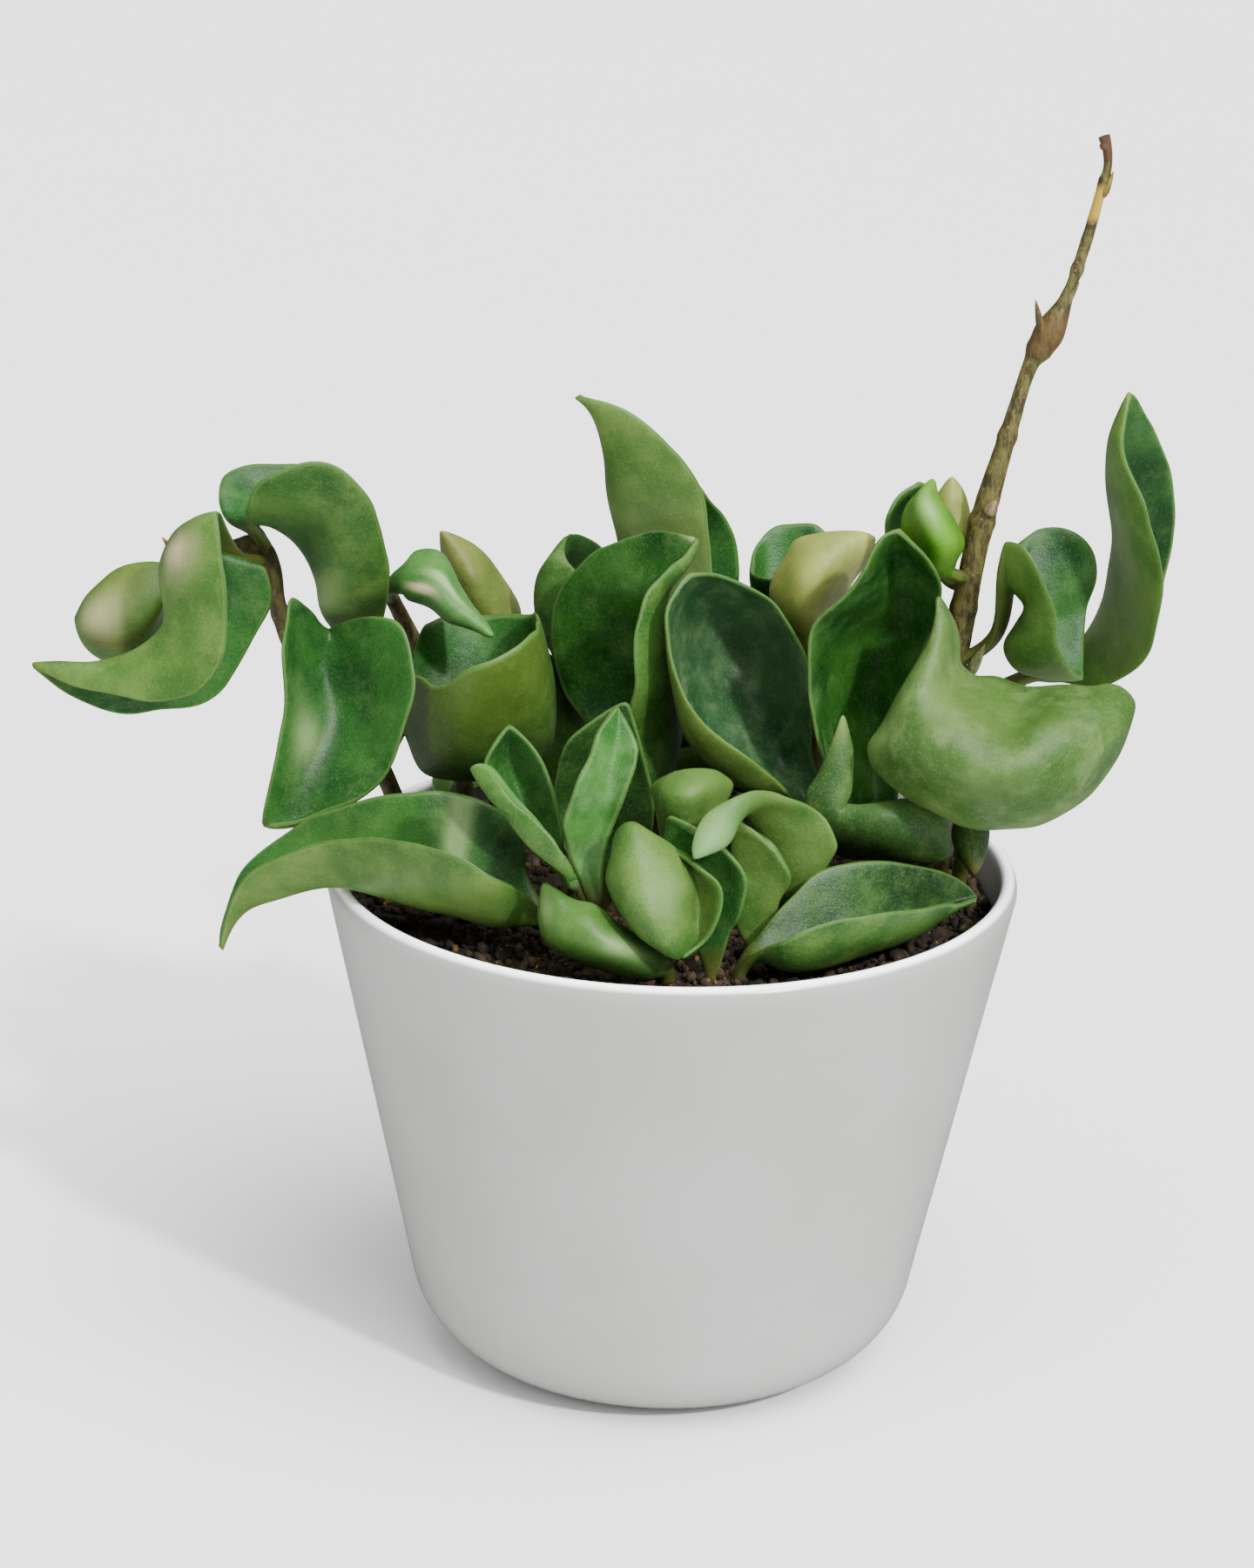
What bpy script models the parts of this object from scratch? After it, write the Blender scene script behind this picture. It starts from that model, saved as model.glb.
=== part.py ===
"""A hindu rope plant in its white pot: pot, soil, stems and one solid for each thick, curled leaf.

Lengths are in metres, with +Z up. The origin is the middle of the pot's underside. The plant is seen
from the front along +Y. The stem and leaf points below are in millimetres, as each leaf has its own form.
"""

import math

import bmesh
import bpy
from mathutils import Matrix, Vector, noise

MM = 0.001
TOUCHING = 0.000001

# Pot
RIM_RADIUS = 0.065
POT_HEIGHT = 0.097
FOOT_RADIUS = 0.0456
FOOT_ROUNDING = 0.0178
WALL = 0.0035
FLOOR = 0.005
LIP_RISE = 0.003
FLOOR_EASING = 0.004
SHARP_ANGLE = math.radians(50)
POT_SIDES = 40
LIP_STEPS = 4
FOOT_STEPS = 5
INNER_FOOT_STEPS = 3

# Soil
SOIL_LEVEL = 0.0905
SOIL_GAP = 0.0003
SOIL_ROUGHNESS = 0.0016
SOIL_EDGE = 0.002
CLODS_PER_METRE = 130
SOIL_SIDES = 30
SOIL_RINGS = 6
ROOT_DEPTH = 0.009
HOLE_GAP = 0.0007
HOLE_BELOW = 0.002
HOLE_ABOVE = 0.024
HOLE_SIDES = 8

# Leaves
BLADE_THICKNESS = 0.0017
PETIOLE_WIDTH = 0.0030
PETIOLE_THICKNESS = 0.0026
TIP_THINNING = 0.7
SEAT_GAP = 0.0003
SEAT_STEP = 0.0001
BLADE_COLUMNS = 4
TIP_WELD = 0.00005

for old in list(bpy.data.objects):
    bpy.data.objects.remove(old)


def material(name, colour, roughness):
    made = bpy.data.materials.new(name)
    made.use_nodes = True
    shader = made.node_tree.nodes["Principled BSDF"]
    shader.inputs["Base Color"].default_value = (*colour, 1)
    shader.inputs["Roughness"].default_value = roughness
    shader.inputs["Metallic"].default_value = 0
    return made


GLAZE = material("white_pot_glaze", (0.80, 0.80, 0.80), 0.45)
SOIL = material("dark_potting_soil", (0.022, 0.015, 0.010), 0.95)
BARK = material("olive_stem_bark", (0.20, 0.17, 0.07), 0.7)
LEAF_TOP = material("leaf_upper_green", (0.03, 0.16, 0.04), 0.35)
LEAF_UNDER = material("leaf_under_green", (0.22, 0.36, 0.09), 0.5)
DRY_LEAF = material("dried_leaf_tan", (0.45, 0.33, 0.18), 0.8)


def add_object(name, bm, *materials):
    mesh = bpy.data.meshes.new(name)
    bm.to_mesh(mesh)
    bm.free()
    made = bpy.data.objects.new(name, mesh)
    for each in materials:
        mesh.materials.append(each)
    bpy.context.collection.objects.link(made)
    return made


def along(points, knots, place):
    """The smooth curve through the points, at one place among its knots."""
    last = len(points) - 1
    slopes = [None] * (last + 1)
    for i in range(1, last):
        slopes[i] = (points[i + 1] - points[i - 1]) / (knots[i + 1] - knots[i - 1])
    if last == 1:
        slopes[0] = slopes[1] = (points[1] - points[0]) / (knots[1] - knots[0])
    else:
        first_step = (points[1] - points[0]) / (knots[1] - knots[0])
        last_step = (points[last] - points[last - 1]) / (knots[last] - knots[last - 1])
        slopes[0] = 2 * first_step - slopes[1]
        slopes[last] = 2 * last_step - slopes[last - 1]
    i = 0
    while i < last - 1 and place > knots[i + 1]:
        i += 1
    span = knots[i + 1] - knots[i]
    t = (place - knots[i]) / span
    return (
        points[i] * (1 + 2 * t) * (1 - t) ** 2
        + slopes[i] * span * t * (1 - t) ** 2
        + points[i + 1] * t * t * (3 - 2 * t)
        + slopes[i + 1] * span * t * t * (t - 1)
    )


def distances(points):
    """How far along the straight steps each point lies."""
    run = [0.0]
    for before, after in zip(points, points[1:]):
        run.append(run[-1] + (after - before).length)
    return run


def in_metres(points):
    return [Vector(point) * MM for point in points]


def turned_profile(profile, sides):
    """A closed solid turned about Z from an outline of (radius, height) that starts and ends on the axis."""
    bm = bmesh.new()
    points = [bm.verts.new((radius, 0, height)) for radius, height in profile]
    edges = [bm.edges.new(pair) for pair in zip(points, points[1:])]
    bmesh.ops.spin(
        bm,
        geom=points + edges,
        axis=(0, 0, 1),
        cent=(0, 0, 0),
        angle=math.tau,
        steps=sides,
        use_merge=True,
    )
    bmesh.ops.remove_doubles(bm, verts=bm.verts, dist=TOUCHING)
    bmesh.ops.recalc_face_normals(bm, faces=bm.faces)
    return bm


# Pot: slip-cast, thin-walled, tapering to a softly rounded foot, with a rolled lip
def foot_arc(inset, steps):
    """The rounding from the flat underside up to the straight side, drawn inwards by an inset."""
    slope = math.atan2(POT_HEIGHT - LIP_RISE, RIM_RADIUS - FOOT_RADIUS)
    reach = FOOT_ROUNDING / math.tan((math.pi - slope) / 2)
    radius = FOOT_ROUNDING - inset
    arc = []
    for i in range(steps + 1):
        angle = -math.pi / 2 + slope * i / steps
        across = FOOT_RADIUS - reach + radius * math.cos(angle)
        arc.append((across, FOOT_ROUNDING + radius * math.sin(angle)))
    return arc


def side_radius(height):
    side_height = POT_HEIGHT - LIP_RISE
    return RIM_RADIUS - (RIM_RADIUS - FOOT_RADIUS) * (side_height - height) / side_height


def inner_radius(height):
    return side_radius(height) - WALL


def build_pot():
    lip_middle = RIM_RADIUS - WALL / 2
    lip = []
    for i in range(LIP_STEPS + 1):
        angle = math.pi * i / LIP_STEPS
        height = POT_HEIGHT - LIP_RISE * (1 - math.sin(angle))
        lip.append((lip_middle + WALL / 2 * math.cos(angle), height))
    outside = foot_arc(0, FOOT_STEPS)
    rounding = foot_arc(WALL, INNER_FOOT_STEPS)[::-1]
    inside = [(radius, height) for radius, height in rounding if height > FLOOR]
    floor_edge = inside[-1][0] - FLOOR_EASING
    profile = [(0, 0)] + outside + lip + inside + [(floor_edge, FLOOR), (0, FLOOR)]
    pot = add_object("pot", turned_profile(profile, POT_SIDES), GLAZE)
    pot.data.shade_smooth()
    pot.data.set_sharp_from_angle(angle=SHARP_ANGLE)


# Soil: a loose, crumbly filling that stops just under the lip
def build_soil(root_holes):
    bottom = FOOT_ROUNDING
    profile = [(0, bottom), (inner_radius(bottom) - SOIL_GAP * 3, bottom)]
    profile.append((inner_radius(SOIL_LEVEL) - SOIL_GAP * 2, SOIL_LEVEL - SOIL_ROUGHNESS))
    edge = inner_radius(SOIL_LEVEL) - SOIL_EDGE
    for i in range(SOIL_RINGS):
        profile.append((edge * (1 - i / SOIL_RINGS), SOIL_LEVEL))
    profile.append((0, SOIL_LEVEL))
    bm = turned_profile(profile, SOIL_SIDES)
    for vert in bm.verts:
        if vert.co.z > SOIL_LEVEL - TOUCHING:
            vert.co.z += SOIL_ROUGHNESS * noise.noise(vert.co * CLODS_PER_METRE)
    soil = add_object("potting_soil", bm, SOIL)
    for number, (foot, top, radius) in enumerate(root_holes):
        bm = bmesh.new()
        length = (top - foot).length
        bmesh.ops.create_cone(
            bm, cap_ends=True, segments=HOLE_SIDES, radius1=radius, radius2=radius, depth=length
        )
        turn = (top - foot).to_track_quat("Z", "Y").to_matrix().to_4x4()
        bm.transform(Matrix.Translation((foot + top) / 2) @ turn)
        cutter = add_object(f"root_hole_{number + 1}", bm)
        cutter.hide_render = True
        cutter.display_type = "WIRE"
        cut = soil.modifiers.new(cutter.name, "BOOLEAN")
        cut.operation = "DIFFERENCE"
        cut.object = cutter


ROOT_HOLES = []


def root_hole(foot, above, radius):
    """Keeps a plain hole in the soil for what is planted from the foot towards a point above."""
    direction = (above - foot).normalized()
    bottom = foot - direction * HOLE_BELOW
    ROOT_HOLES.append((bottom, foot + direction * HOLE_ABOVE, radius + HOLE_GAP))


# Stems: round and woody, thicker at each node, planted in the soil
STEMS = {
    "vine_stem": (
        [(51, 4, 80), (50, 5, 111), (51, 6, 128), (52, 6, 138), (54, 6, 153), (56, 7, 164)]
        + [(60, 8, 180), (63, 9, 191), (66, 9, 197), (69, 9, 204), (72, 10, 214), (74, 10, 223)]
        + [(75, 10, 228), (74, 10, 233)],
        [2.3, 2.4, 2.4, 2.6, 2.3, 2.3, 1.6, 1.5, 2.9, 1.2, 1.1, 0.9, 0.8, 1.1],
    ),
    "left_stem": (
        [(-48, 15, 81), (-50, 15, 92), (-55, 17, 106), (-62, 18, 118), (-69, 16, 127), (-73, 14, 134)]
        + [(-75, 12, 142), (-76, 11, 149), (-78, 11, 153), (-82, 11, 153), (-87, 11, 151), (-90, 12, 149)],
        [1.8, 1.8, 1.8, 1.8, 1.8, 1.7, 1.6, 1.9, 1.9, 1.5, 1.4, 1.4],
    ),
    "centre_stem": ([(-2, 10, 80), (-2, 11, 96), (-2, 12, 112), (-1, 13, 122)], [2.0, 1.9, 1.8, 1.5]),
    "left_back_stem": (
        [(-38, 27, 81), (-40, 28, 98), (-44, 28, 114), (-49, 26, 128), (-54, 22, 140), (-56, 19, 146)],
        [1.9, 1.8, 1.7, 1.6, 1.4, 1.1],
    ),
    "right_back_stem": ([(28, 16, 80), (28, 16, 98), (27, 17, 115), (28, 18, 128)], [1.9, 1.8, 1.7, 1.4]),
    "front_stem": ([(-14, -33, 81), (-14, -34, 93), (-14, -36, 100), (-14, -38, 104)], [1.7, 1.6, 1.6, 1.4]),
}
STEM_STEP = 0.007
STEM_STATIONS = 150


def build_stem(name):
    points, radii = STEMS[name]
    points = in_metres(points)
    knots = distances(points)
    count = max(5, round(knots[-1] / STEM_STEP))
    curve = bpy.data.curves.new(name, "CURVE")
    curve.dimensions = "3D"
    curve.bevel_depth = 1.0
    curve.bevel_resolution = 2
    curve.use_fill_caps = True
    spline = curve.splines.new("POLY")
    spline.points.add(count - 1)
    for i, point in enumerate(spline.points):
        place = knots[-1] * i / (count - 1)
        spot = along(points, knots, place)
        point.co = (*spot, 1)
        point.radius = along([Vector((radius, 0, 0)) for radius in radii], knots, place).x * MM
    stem = bpy.data.objects.new(name, curve)
    curve.materials.append(BARK)
    bpy.context.collection.objects.link(stem)
    root_hole(points[0], along(points, knots, ROOT_DEPTH), max(radii[:2]) * MM)


def stem_seat(name, near, towards, side):
    """Where a petiole that runs towards a point starts on a stem: just clear of the bark."""
    points, radii = STEMS[name]
    points = in_metres(points)
    radii = [Vector((radius, 0, 0)) * MM for radius in radii]
    knots = distances(points)
    places = [knots[-1] * i / STEM_STATIONS for i in range(STEM_STATIONS + 1)]
    axis = [along(points, knots, place) for place in places]
    thick = [along(radii, knots, place).x for place in places]
    spot = min(axis, key=lambda at: (at - near).length)
    direction = (towards - spot).normalized()
    across = side * PETIOLE_WIDTH / 2
    through = direction.cross(side).normalized() * PETIOLE_THICKNESS / 2
    clearance = 0
    seat = spot
    while clearance < SEAT_GAP:
        seat = seat + direction * SEAT_STEP
        corners = [seat + across * i + through * j for i in (-1, 0, 1) for j in (-1, 0, 1)]
        gaps = [(corner - at).length - r for at, r in zip(axis, thick) for corner in corners]
        clearance = min(gaps)
    return seat


# Leaves: thick, cupped and curled, each with its petiole. A row runs across the blade, from the left
# margin over the rib to the right margin, seen from the upper face with the tip up.
LEAVES = {
    "left_hook_leaf": {
        "seat": ("left_stem", (-77, 11, 151)),
        "petiole": [(-81, 5, 152)],
        "rows": [
            [(-76, 1, 152), (-91, -3, 158), (-83, -12, 166)],
            [(-75, 2, 146), (-94, -6, 153), (-82, -17, 160)],
            [(-78, 1, 138), (-93, -8, 144), (-81, -19, 146)],
            [(-85, -2, 128), (-98, -8, 138), (-84, -19, 136)],
            [(-94, -4, 125), (-106, -8, 135), (-94, -16, 131)],
            [(-107, -6, 126), (-113, -8, 135), (-108, -12, 132)],
        ],
        "tip": (-118, -9, 135),
    },
    "left_young_leaf": {
        "seat": ("left_stem", (-90, 12, 149)),
        "petiole": [(-92, 8, 147)],
        "rows": [
            [(-93, 8, 149), (-94, 5, 145), (-94, 9, 142)],
            [(-96, 9, 151), (-97, 2, 141), (-95, 10, 135)],
            [(-102, 9, 150), (-104, 1, 138), (-101, 10, 131)],
            [(-108, 9, 145), (-110, 4, 138), (-108, 10, 133)],
        ],
        "tip": (-112, 9, 139),
    },
    "left_arch_leaf": {
        "seat": ("left_stem", (-77, 11, 153)),
        "petiole": [(-78, 8, 156)],
        "rows": [
            [(-84, 6, 160), (-79, 3, 160), (-79, -4, 163)],
            [(-85, 14, 166), (-75, 5, 159), (-76, -9, 171)],
            [(-75, 19, 167), (-70, 6, 155), (-66, -8, 175)],
            [(-63, 22, 164), (-67, 8, 148), (-57, -7, 169)],
            [(-58, 22, 154), (-66, 12, 140), (-53, 1, 154)],
            [(-58, 21, 141), (-63, 16, 134), (-55, 11, 140)],
        ],
        "tip": (-60, 17, 129),
    },
    "left_front_leaf": {
        "seat": ("left_stem", (-74, 13, 136)),
        "petiole": [(-69, 10, 136)],
        "rows": [
            [(-62, 4, 141), (-65, 6, 138), (-68, 3, 143)],
            [(-52, -4, 144), (-65, 4, 132), (-71, -5, 148)],
            [(-48, -9, 137), (-63, 1, 124), (-72, -9, 140)],
            [(-49, -12, 128), (-64, -3, 118), (-72, -11, 130)],
            [(-53, -13, 117), (-67, -7, 112), (-73, -12, 121)],
            [(-62, -13, 110), (-70, -9, 107), (-75, -12, 112)],
        ],
        "tip": (-76, -11, 106),
    },
    "cup_leaf": {
        "seat": ("left_stem", (-57, 17, 109)),
        "petiole": [(-54, 12, 113)],
        "rows": [
            [(-49, 12, 135), (-51, 9, 118), (-49, 3, 131)],
            [(-46, 15, 138), (-47, 4, 113), (-44, -12, 134)],
            [(-41, 18, 139), (-41, 1, 112), (-38, -20, 140)],
            [(-34, 19, 139), (-33, 1, 113), (-31, -19, 143)],
            [(-28, 16, 140), (-25, 2, 115), (-27, -14, 145)],
            [(-27, 10, 142), (-23, 4, 125), (-26, -7, 144)],
        ],
        "tip": (-26, 4, 142),
    },
    "scarred_leaf": {
        "seat": ("left_back_stem", (-54, 21, 141)),
        "petiole": [(-54, 16, 144)],
        "rows": [
            [(-51, 15, 149), (-52, 12, 147), (-51, 10, 145)],
            [(-49, 17, 151), (-49, 9, 148), (-50, 9, 144)],
            [(-44, 16, 151), (-45, 6, 148), (-46, 7, 143)],
            [(-41, 12, 146), (-42, 4, 145), (-43, 5, 141)],
            [(-37, 7, 142), (-38, 3, 142), (-39, 4, 140)],
        ],
        "tip": (-34, 2, 139),
    },
    "olive_leaf": {
        "seat": ("left_back_stem", (-44, 28, 114)),
        "petiole": [(-38, 28, 120)],
        "rows": [
            [(-31, 32, 128), (-34, 26, 130), (-38, 30, 129)],
            [(-30, 33, 134), (-36, 24, 137), (-43, 31, 137)],
            [(-33, 33, 140), (-39, 24, 144), (-45, 31, 144)],
            [(-38, 32, 147), (-41, 26, 148), (-45, 29, 149)],
        ],
        "tip": (-45, 28, 152),
    },
    "rolled_leaf": {
        "seat": ("centre_stem", (-2, 12, 108)),
        "petiole": [(-12, 22, 116)],
        "rows": [
            [(-17, 20, 127), (-20, 21, 126), (-18, 27, 126)],
            [(-17, 20, 139), (-26, 23, 137), (-16, 32, 136)],
            [(-19, 21, 146), (-26, 24, 144), (-13, 34, 144)],
            [(-21, 22, 149), (-23, 24, 149), (-15, 32, 149)],
        ],
        "tip": (-20, 28, 152),
    },
    "front_left_leaf": {
        "petiole": [(-17, -28, 82), (-18, -30, 92), (-22, -33, 97)],
        "rows": [
            [(-26, -39, 104), (-27, -34, 97), (-26, -28, 104)],
            [(-32, -45, 110), (-32, -34, 97), (-28, -23, 111)],
            [(-40, -45, 114), (-40, -31, 98), (-37, -20, 116)],
            [(-51, -39, 114), (-51, -27, 99), (-49, -19, 116)],
            [(-61, -33, 112), (-62, -22, 99), (-62, -17, 112)],
            [(-72, -28, 106), (-71, -20, 96), (-73, -15, 105)],
            [(-79, -25, 99), (-79, -19, 92), (-81, -16, 96)],
        ],
        "tip": (-83, -22, 85),
    },
    "thin_leaf": {
        "seat": ("front_stem", (-14, -36, 97)),
        "petiole": [(-18, -41, 104)],
        "rows": [
            [(-20, -50, 116), (-18, -49, 111), (-20, -45, 113)],
            [(-24, -49, 121), (-24, -48, 116), (-23, -43, 118)],
            [(-28, -46, 124), (-28, -46, 120), (-28, -40, 123)],
            [(-32, -42, 128), (-32, -43, 124), (-32, -37, 127)],
        ],
        "tip": (-36, -39, 128),
    },
    "spear_leaf": {
        "seat": ("front_stem", (-14, -37, 101)),
        "petiole": [(-14, -42, 104)],
        "rows": [
            [(-17, -43, 109), (-15, -41, 108), (-13, -43, 109)],
            [(-19, -43, 114), (-16, -40, 112), (-12, -42, 114)],
            [(-20, -44, 120), (-15, -40, 117), (-11, -41, 119)],
            [(-18, -43, 126), (-13, -39, 123), (-9, -40, 125)],
            [(-16, -41, 130), (-12, -37, 128), (-7, -38, 130)],
            [(-14, -38, 134), (-11, -35, 132), (-7, -36, 132)],
        ],
        "tip": (-11, -32, 138),
    },
    "hooded_leaf": {
        "seat": ("front_stem", (-14, -36, 98)),
        "petiole": [(-18, -32, 104), (-21, -30, 107)],
        "rows": [
            [(-27, -32, 112), (-24, -27, 110), (-20, -31, 112)],
            [(-32, -31, 119), (-27, -25, 117), (-21, -31, 120)],
            [(-34, -30, 126), (-30, -24, 124), (-24, -30, 127)],
        ],
        "tip": (-30, -27, 132),
    },
    "scroll_leaf": {
        "petiole": [(-4, -39, 82), (-4, -39, 98), (-5, -40, 113)],
        "rows": [
            [(-10, -44, 118), (-8, -47, 121), (-6, -47, 120), (-3, -43, 116), (-1, -45, 115)],
            [(-11, -46, 114), (-8, -53, 117), (-3, -51, 117), (1, -44, 114), (4, -49, 114)],
            [(-12, -48, 110), (-7, -56, 112), (0, -52, 112), (4, -45, 109), (8, -51, 111)],
            [(-9, -50, 105), (-4, -58, 107), (0, -53, 107), (4, -47, 103), (8, -52, 106)],
            [(-6, -52, 102), (-2, -58, 103), (1, -54, 104), (4, -50, 100), (6, -53, 102)],
        ],
        "tip": (1, -55, 99),
    },
    "base_leaf": {
        "petiole": [(0, -46, 82), (-1, -46, 92)],
        "rows": [
            [(-5, -49, 93), (-3, -51, 96), (-1, -47, 96)],
            [(-11, -49, 94), (-10, -55, 100), (-8, -48, 101)],
            [(-17, -46, 95), (-15, -55, 102), (-13, -49, 106)],
            [(-22, -43, 97), (-20, -52, 103), (-17, -48, 107)],
            [(-24, -42, 101), (-22, -49, 105), (-20, -48, 108)],
        ],
        "tip": (-23, -46, 109),
    },
    "dark_crescent_leaf": {
        "petiole": [(7, -43, 82), (7, -43, 92)],
        "rows": [
            [(3, -41, 98), (6, -42, 97), (10, -44, 99)],
            [(1, -40, 102), (6, -41, 102), (12, -45, 103)],
            [(0, -39, 107), (6, -40, 108), (13, -45, 109)],
            [(-1, -39, 112), (4, -40, 113), (10, -44, 114)],
            [(-2, -38, 115), (1, -39, 117), (5, -42, 117)],
        ],
        "tip": (-1, -39, 119),
    },
    "inner_crescent_leaf": {
        "petiole": [(15, -37, 82), (15, -37, 92)],
        "rows": [
            [(18, -38, 98), (15, -37, 97), (12, -37, 98)],
            [(19, -38, 104), (15, -37, 103), (10, -36, 103)],
            [(21, -39, 109), (15, -36, 109), (10, -35, 108)],
            [(19, -38, 113), (14, -36, 114), (10, -35, 112)],
            [(15, -37, 116), (12, -36, 116), (10, -35, 115)],
        ],
        "tip": (11, -36, 118),
    },
    "outer_crescent_leaf": {
        "petiole": [(21, -28, 82), (21, -28, 96)],
        "rows": [
            [(25, -31, 103), (21, -30, 102), (18, -29, 103)],
            [(28, -31, 108), (22, -31, 107), (16, -29, 107)],
            [(29, -32, 113), (21, -31, 113), (15, -29, 112)],
            [(25, -32, 119), (18, -32, 119), (13, -31, 117)],
            [(18, -35, 123), (15, -37, 122), (12, -37, 119)],
            [(12, -41, 125), (11, -43, 122), (11, -42, 119)],
            [(5, -45, 122), (7, -48, 119), (9, -46, 117)],
        ],
        "tip": (3, -50, 116),
    },
    "spiky_leaf": {
        "petiole": [(1, -32, 82), (1, -33, 100)],
        "rows": [
            [(4, -32, 111), (1, -35, 111), (-2, -32, 111)],
            [(6, -31, 115), (1, -37, 117), (-3, -32, 115)],
            [(9, -30, 119), (1, -38, 122), (-4, -31, 119)],
            [(10, -29, 122), (3, -35, 124), (-5, -30, 122)],
            [(9, -28, 123), (4, -31, 125), (-2, -29, 123)],
        ],
        "tip": (7, -28, 124),
    },
    "folded_leaf": {
        "seat": ("centre_stem", (-2, 11, 102)),
        "petiole": [(-3, 5, 104)],
        "rows": [
            [(-10, 3, 114), (-2, -2, 112), (-6, -9, 115)],
            [(-18, 8, 122), (0, 0, 122), (-9, -12, 125)],
            [(-22, 12, 128), (-1, 1, 132), (-8, -16, 136)],
            [(-24, 14, 137), (-3, 1, 142), (-8, -16, 146)],
            [(-22, 14, 145), (-4, 0, 149), (-6, -12, 153)],
            [(-15, 11, 154), (-1, 0, 154), (-2, -7, 156)],
            [(-6, 6, 159), (1, 0, 157), (1, -3, 158)],
        ],
        "tip": (3, 0, 160),
    },
    "shaded_leaf": {
        "petiole": [(-13, -13, 82), (-13, -13, 92)],
        "rows": [
            [(-18, -17, 101), (-13, -14, 100), (-8, -17, 101)],
            [(-22, -17, 109), (-13, -13, 107), (-4, -16, 108)],
            [(-22, -17, 118), (-13, -14, 117), (-4, -17, 117)],
            [(-19, -19, 127), (-12, -17, 126), (-6, -19, 126)],
        ],
        "tip": (-9, -19, 134),
    },
    "oval_leaf": {
        "petiole": [(25, -6, 82), (25, -7, 92), (25, -8, 104)],
        "rows": [
            [(21, -12, 115), (22, -10, 113), (24, -9, 112), (26, -9, 113), (27, -9, 114)],
            [(13, -18, 124), (12, -12, 116), (19, -1, 116), (23, -2, 118), (25, -6, 121)],
            [(5, -20, 131), (4, -12, 124), (14, 2, 125), (21, 0, 127), (25, -6, 132)],
            [(0, -20, 139), (1, -10, 133), (9, 5, 134), (18, 3, 136), (23, -6, 141)],
            [(-2, -18, 147), (0, -8, 144), (5, 3, 142), (13, 2, 145), (17, -7, 150)],
            [(-2, -16, 152), (0, -10, 151), (3, -3, 149), (7, -3, 151), (10, -8, 154)],
        ],
        "tip": (2, -11, 156),
    },
    "tall_back_leaf": {
        "seat": ("centre_stem", (-2, 12, 114)),
        "petiole": [(1, 18, 121)],
        "rows": [
            [(3, 14, 131), (-2, 15, 130), (4, 22, 128)],
            [(6, 9, 145), (-9, 18, 142), (11, 27, 138)],
            [(6, 9, 155), (-11, 19, 154), (12, 29, 147)],
            [(4, 9, 165), (-13, 18, 163), (9, 27, 156)],
            [(-1, 10, 173), (-14, 16, 171), (3, 22, 165)],
            [(-9, 11, 180), (-16, 14, 179), (-7, 18, 176)],
        ],
        "tip": (-20, 13, 183),
    },
    "round_back_leaf": {
        "seat": ("right_back_stem", (28, 18, 126)),
        "petiole": [(32, 23, 131)],
        "rows": [
            [(31, 20, 144), (32, 26, 140), (32, 31, 144)],
            [(25, 17, 147), (25, 26, 138), (27, 34, 153)],
            [(19, 16, 148), (20, 26, 137), (20, 35, 153)],
            [(15, 17, 148), (16, 26, 140), (16, 33, 151)],
        ],
        "tip": (14, 26, 147),
    },
    "pale_back_leaf": {
        "seat": ("right_back_stem", (27, 17, 116)),
        "petiole": [(26, 9, 127)],
        "rows": [
            [(26, 7, 138), (24, 4, 139), (22, 7, 138)],
            [(30, 9, 144), (23, 0, 146), (19, 9, 143)],
            [(33, 10, 150), (25, -2, 153), (17, 10, 147)],
            [(36, 11, 154), (27, 0, 157), (19, 11, 152)],
            [(36, 11, 156), (31, 5, 159), (23, 11, 157)],
        ],
        "tip": (36, 10, 157),
    },
    "upright_right_leaf": {
        "petiole": [(37, -8, 82), (37, -8, 92), (37, -8, 102)],
        "rows": [
            [(33, -12, 112), (37, -6, 108), (41, -8, 111)],
            [(26, -14, 124), (35, 0, 118), (42, -6, 119)],
            [(24, -15, 136), (34, 3, 130), (43, -6, 131)],
            [(24, -16, 148), (36, 4, 141), (46, -5, 142)],
            [(31, -17, 156), (40, 0, 149), (48, -6, 149)],
            [(34, -16, 163), (40, -4, 158), (46, -11, 158)],
        ],
        "tip": (39, -14, 166),
    },
    "right_lobe_leaf": {
        "seat": ("vine_stem", (52, 6, 138)),
        "petiole": [(51, 0, 140)],
        "rows": [
            [(47, -12, 153), (50, -9, 146), (52, -4, 139)],
            [(45, -15, 146), (47, -18, 141), (53, -6, 138)],
            [(39, -19, 134), (45, -26, 136), (55, -8, 137)],
            [(34, -22, 127), (49, -32, 133), (58, -9, 137)],
            [(41, -24, 119), (55, -36, 129), (64, -11, 136)],
            [(53, -26, 114), (62, -36, 130), (70, -13, 137)],
            [(66, -25, 114), (70, -32, 130), (75, -14, 137)],
            [(77, -20, 121), (78, -24, 132), (80, -14, 138)],
        ],
        "tip": (83, -16, 135),
    },
    "bud_leaf": {
        "seat": ("vine_stem", (54, 6, 151)),
        "petiole": [(50, 3, 153)],
        "rows": [
            [(50, 1, 155), (47, -1, 155), (45, 1, 156)],
            [(52, 2, 159), (47, -6, 161), (43, 2, 159)],
            [(50, 4, 163), (45, -6, 166), (41, 3, 162)],
            [(47, 4, 167), (44, -3, 169), (42, 3, 166)],
        ],
        "tip": (46, 3, 171),
    },
    "beige_bud_leaf": {
        "seat": ("vine_stem", (54, 6, 150)),
        "petiole": [(50, 11, 150)],
        "rows": [
            [(52, 12, 154), (50, 10, 154), (48, 12, 154)],
            [(54, 12, 159), (51, 9, 159), (47, 12, 159)],
            [(53, 13, 164), (50, 10, 165), (47, 12, 164)],
        ],
        "tip": (50, 12, 169),
    },
    "dark_bud_leaf": {
        "seat": ("vine_stem", (52, 6, 142)),
        "petiole": [(46, 12, 145)],
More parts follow.
